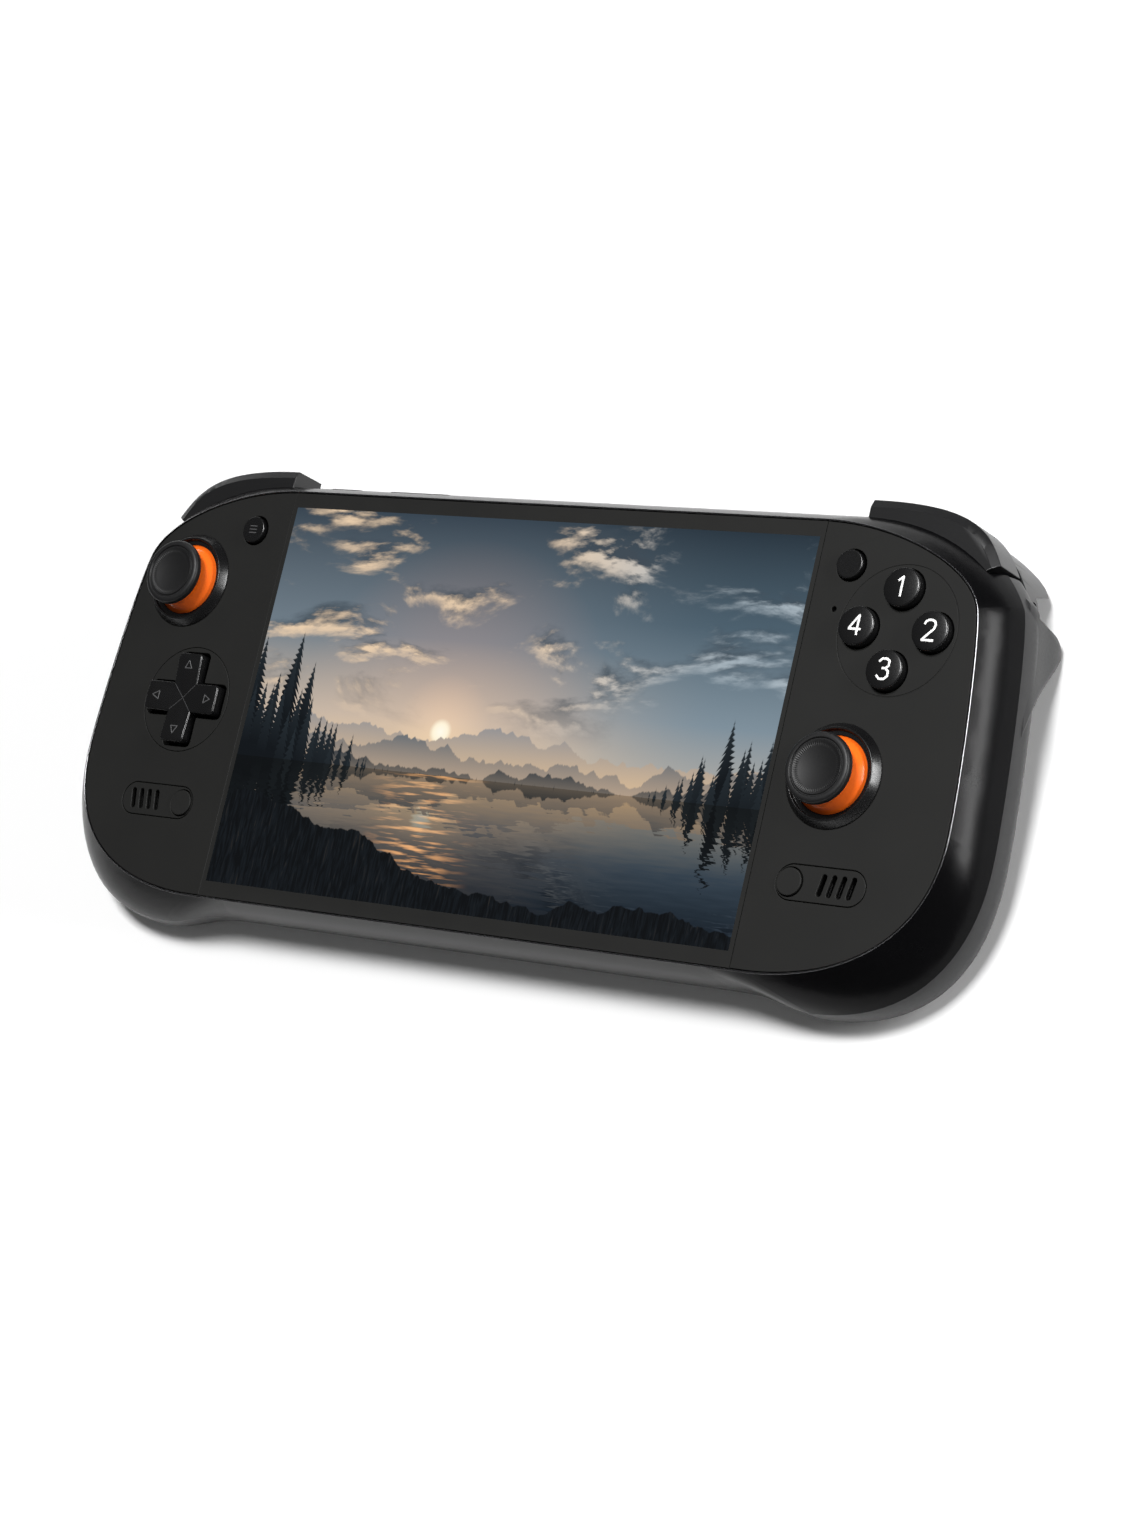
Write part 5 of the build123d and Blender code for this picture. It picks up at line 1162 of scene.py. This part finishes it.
class ConsoleSizes(bpy.types.PropertyGroup):
    """Sizes of the console's fine forms, and the levels of its light."""

    panel_edge: length("Plate edge", "Rounding of the face plates' edges", 0.16)
    key_edge: length("Key edge", "Rounding of the face buttons' edges", 0.55)
    rim_edge: length("Rim edge", "Height of the chrome line round the face", 0.12)
    bumper_edge: length("Bumper edge", "Rounding of the bumpers' edges", 0.25)
    trigger_edge: length("Trigger edge", "Rounding of the triggers' edges", 0.4)
    rib_depth: length("Rib depth", "Depth of the ribs in the stick caps", 0.1)
    number_height: length("Number height", "Height of the numbers on the face buttons", 5.2)
    number_stroke: length("Number stroke", "Width of the numbers' strokes", 0.68)
    cap_ribs: bpy.props.IntProperty(name="Cap ribs", default=72, min=12, max=144,
                                    description="Number of ribs round a stick cap's dish")
    lamp_light: share("Lamp light", "Share of the lamps' full power", 1.0, 4.0)
    world_light: share("World light", "Strength of the even light all round", 0.08, 2.0)
    paper_lift: share("Paper lift", "White added to the seen backdrop", 0.03, 1.0)


class ConsoleColours(bpy.types.PropertyGroup):
    """Colours of the console's finishes."""

    face: tint("Face plates", "Charcoal of the face plates and the screen's border", "#161615")
    rim: tint("Rim", "Black of the rim", "#070708")
    shoulder: tint("Bumpers", "Black of the bumpers and triggers", "#131314")
    grip: tint("Grips", "Black of the rear shell and its grips", "#1B1B1C")
    keys: tint("Keys", "Black of the buttons, rings and D-pad", "#0A0A0B")
    rubber: tint("Stick rubber", "Black of the stick caps", "#111112")
    dome: tint("Stick domes", "Orange of the domes under the sticks", "#F4691A")
    edge: tint("Rim line", "Smoked chrome of the line round the face", "#707072")
    # Grey of the marks, and of the painted highlight lines along the D-pad's creases
    mark: tint("Marks", "Grey of the D-pad's and the menu button's marks", "#4A4A4B")
    ink: tint("Numbers", "White of the printed numbers", "#F4F4F2")
    paper: tint("Backdrop", "White of the floor", "#FAFAFA")


class CONSOLE_OT_finishes(bpy.types.Operator):
    """Dress every CAD node in its finish"""

    bl_idname = "console.finishes"
    bl_label = "Finishes"

    def execute(self, context):
        dress_cad()
        return {"FINISHED"}


class CONSOLE_OT_panels(bpy.types.Operator):
    """Build the two charcoal face plates with their holes"""

    bl_idname = "console.panels"
    bl_label = "Face plates"

    def execute(self, context):
        make_panels()
        return {"FINISHED"}


class CONSOLE_OT_screen(bpy.types.Operator):
    """Build the cover glass and the lit picture"""

    bl_idname = "console.screen"
    bl_label = "Screen"

    def execute(self, context):
        make_screen()
        return {"FINISHED"}


class CONSOLE_OT_sticks(bpy.types.Operator):
    """Build the rings, domes and caps of both sticks"""

    bl_idname = "console.sticks"
    bl_label = "Sticks"

    def execute(self, context):
        make_sticks()
        return {"FINISHED"}


class CONSOLE_OT_face_buttons(bpy.types.Operator):
    """Build the four face buttons and their numbers"""

    bl_idname = "console.face_buttons"
    bl_label = "Face buttons"

    def execute(self, context):
        make_face_buttons()
        return {"FINISHED"}


class CONSOLE_OT_small_buttons(bpy.types.Operator):
    """Build the menu buttons and the small buttons in the pills"""

    bl_idname = "console.small_buttons"
    bl_label = "Small buttons"

    def execute(self, context):
        make_small_buttons()
        return {"FINISHED"}


class CONSOLE_OT_grilles(bpy.types.Operator):
    """Build the pill-shaped speaker grilles"""

    bl_idname = "console.grilles"
    bl_label = "Speaker grilles"

    def execute(self, context):
        make_grilles()
        return {"FINISHED"}


class CONSOLE_OT_pad(bpy.types.Operator):
    """Build the D-pad's disc, cross and marks"""

    bl_idname = "console.pad"
    bl_label = "D-pad"

    def execute(self, context):
        make_pad()
        return {"FINISHED"}


class CONSOLE_OT_shoulders(bpy.types.Operator):
    """Build the bumpers and triggers"""

    bl_idname = "console.shoulders"
    bl_label = "Bumpers and triggers"

    def execute(self, context):
        make_shoulders()
        return {"FINISHED"}


class CONSOLE_OT_edge_keys(bpy.types.Operator):
    """Build the power key and the volume rocker"""

    bl_idname = "console.edge_keys"
    bl_label = "Keys on the edge"

    def execute(self, context):
        make_edge_keys()
        return {"FINISHED"}


class CONSOLE_OT_rim_edge(bpy.types.Operator):
    """Build the chrome line round the face"""

    bl_idname = "console.rim_edge"
    bl_label = "Rim edge"

    def execute(self, context):
        make_rim_edge()
        return {"FINISHED"}


class CONSOLE_OT_stage(bpy.types.Operator):
    """Set up the floor, the lamps and the camera"""

    bl_idname = "console.stage"
    bl_label = "Stage"

    def execute(self, context):
        make_stage()
        return {"FINISHED"}


OPERATORS = (CONSOLE_OT_finishes, CONSOLE_OT_panels, CONSOLE_OT_screen, CONSOLE_OT_sticks,
             CONSOLE_OT_face_buttons, CONSOLE_OT_small_buttons, CONSOLE_OT_grilles, CONSOLE_OT_pad,
             CONSOLE_OT_shoulders, CONSOLE_OT_edge_keys, CONSOLE_OT_rim_edge, CONSOLE_OT_stage)


class CONSOLE_PT_builder(bpy.types.Panel):
    """Lists the console's sizes, colours and pieces"""

    bl_label = "Handheld console"
    bl_idname = "CONSOLE_PT_builder"
    bl_space_type = "VIEW_3D"
    bl_region_type = "UI"
    bl_category = "Console"

    def draw(self, context):
        for group in (context.scene.console_sizes, context.scene.console_colours):
            for key in group.__annotations__:
                self.layout.prop(group, key)
        for operator in OPERATORS:
            self.layout.operator(operator.bl_idname)


CLASSES = (ConsoleSizes, ConsoleColours, *OPERATORS, CONSOLE_PT_builder)


def register():
    for made in CLASSES:
        bpy.utils.register_class(made)
    bpy.types.Scene.console_sizes = bpy.props.PointerProperty(type=ConsoleSizes)
    bpy.types.Scene.console_colours = bpy.props.PointerProperty(type=ConsoleColours)


def unregister():
    del bpy.types.Scene.console_colours
    del bpy.types.Scene.console_sizes
    for made in reversed(CLASSES):
        bpy.utils.unregister_class(made)


def main():
    """Builds every piece in order."""
    register()
    bpy.ops.console.finishes()
    bpy.ops.console.panels()
    bpy.ops.console.screen()
    bpy.ops.console.sticks()
    bpy.ops.console.face_buttons()
    bpy.ops.console.small_buttons()
    bpy.ops.console.grilles()
    bpy.ops.console.pad()
    bpy.ops.console.shoulders()
    bpy.ops.console.edge_keys()
    bpy.ops.console.rim_edge()
    bpy.ops.console.stage()


if __name__ == "__main__":
    main()
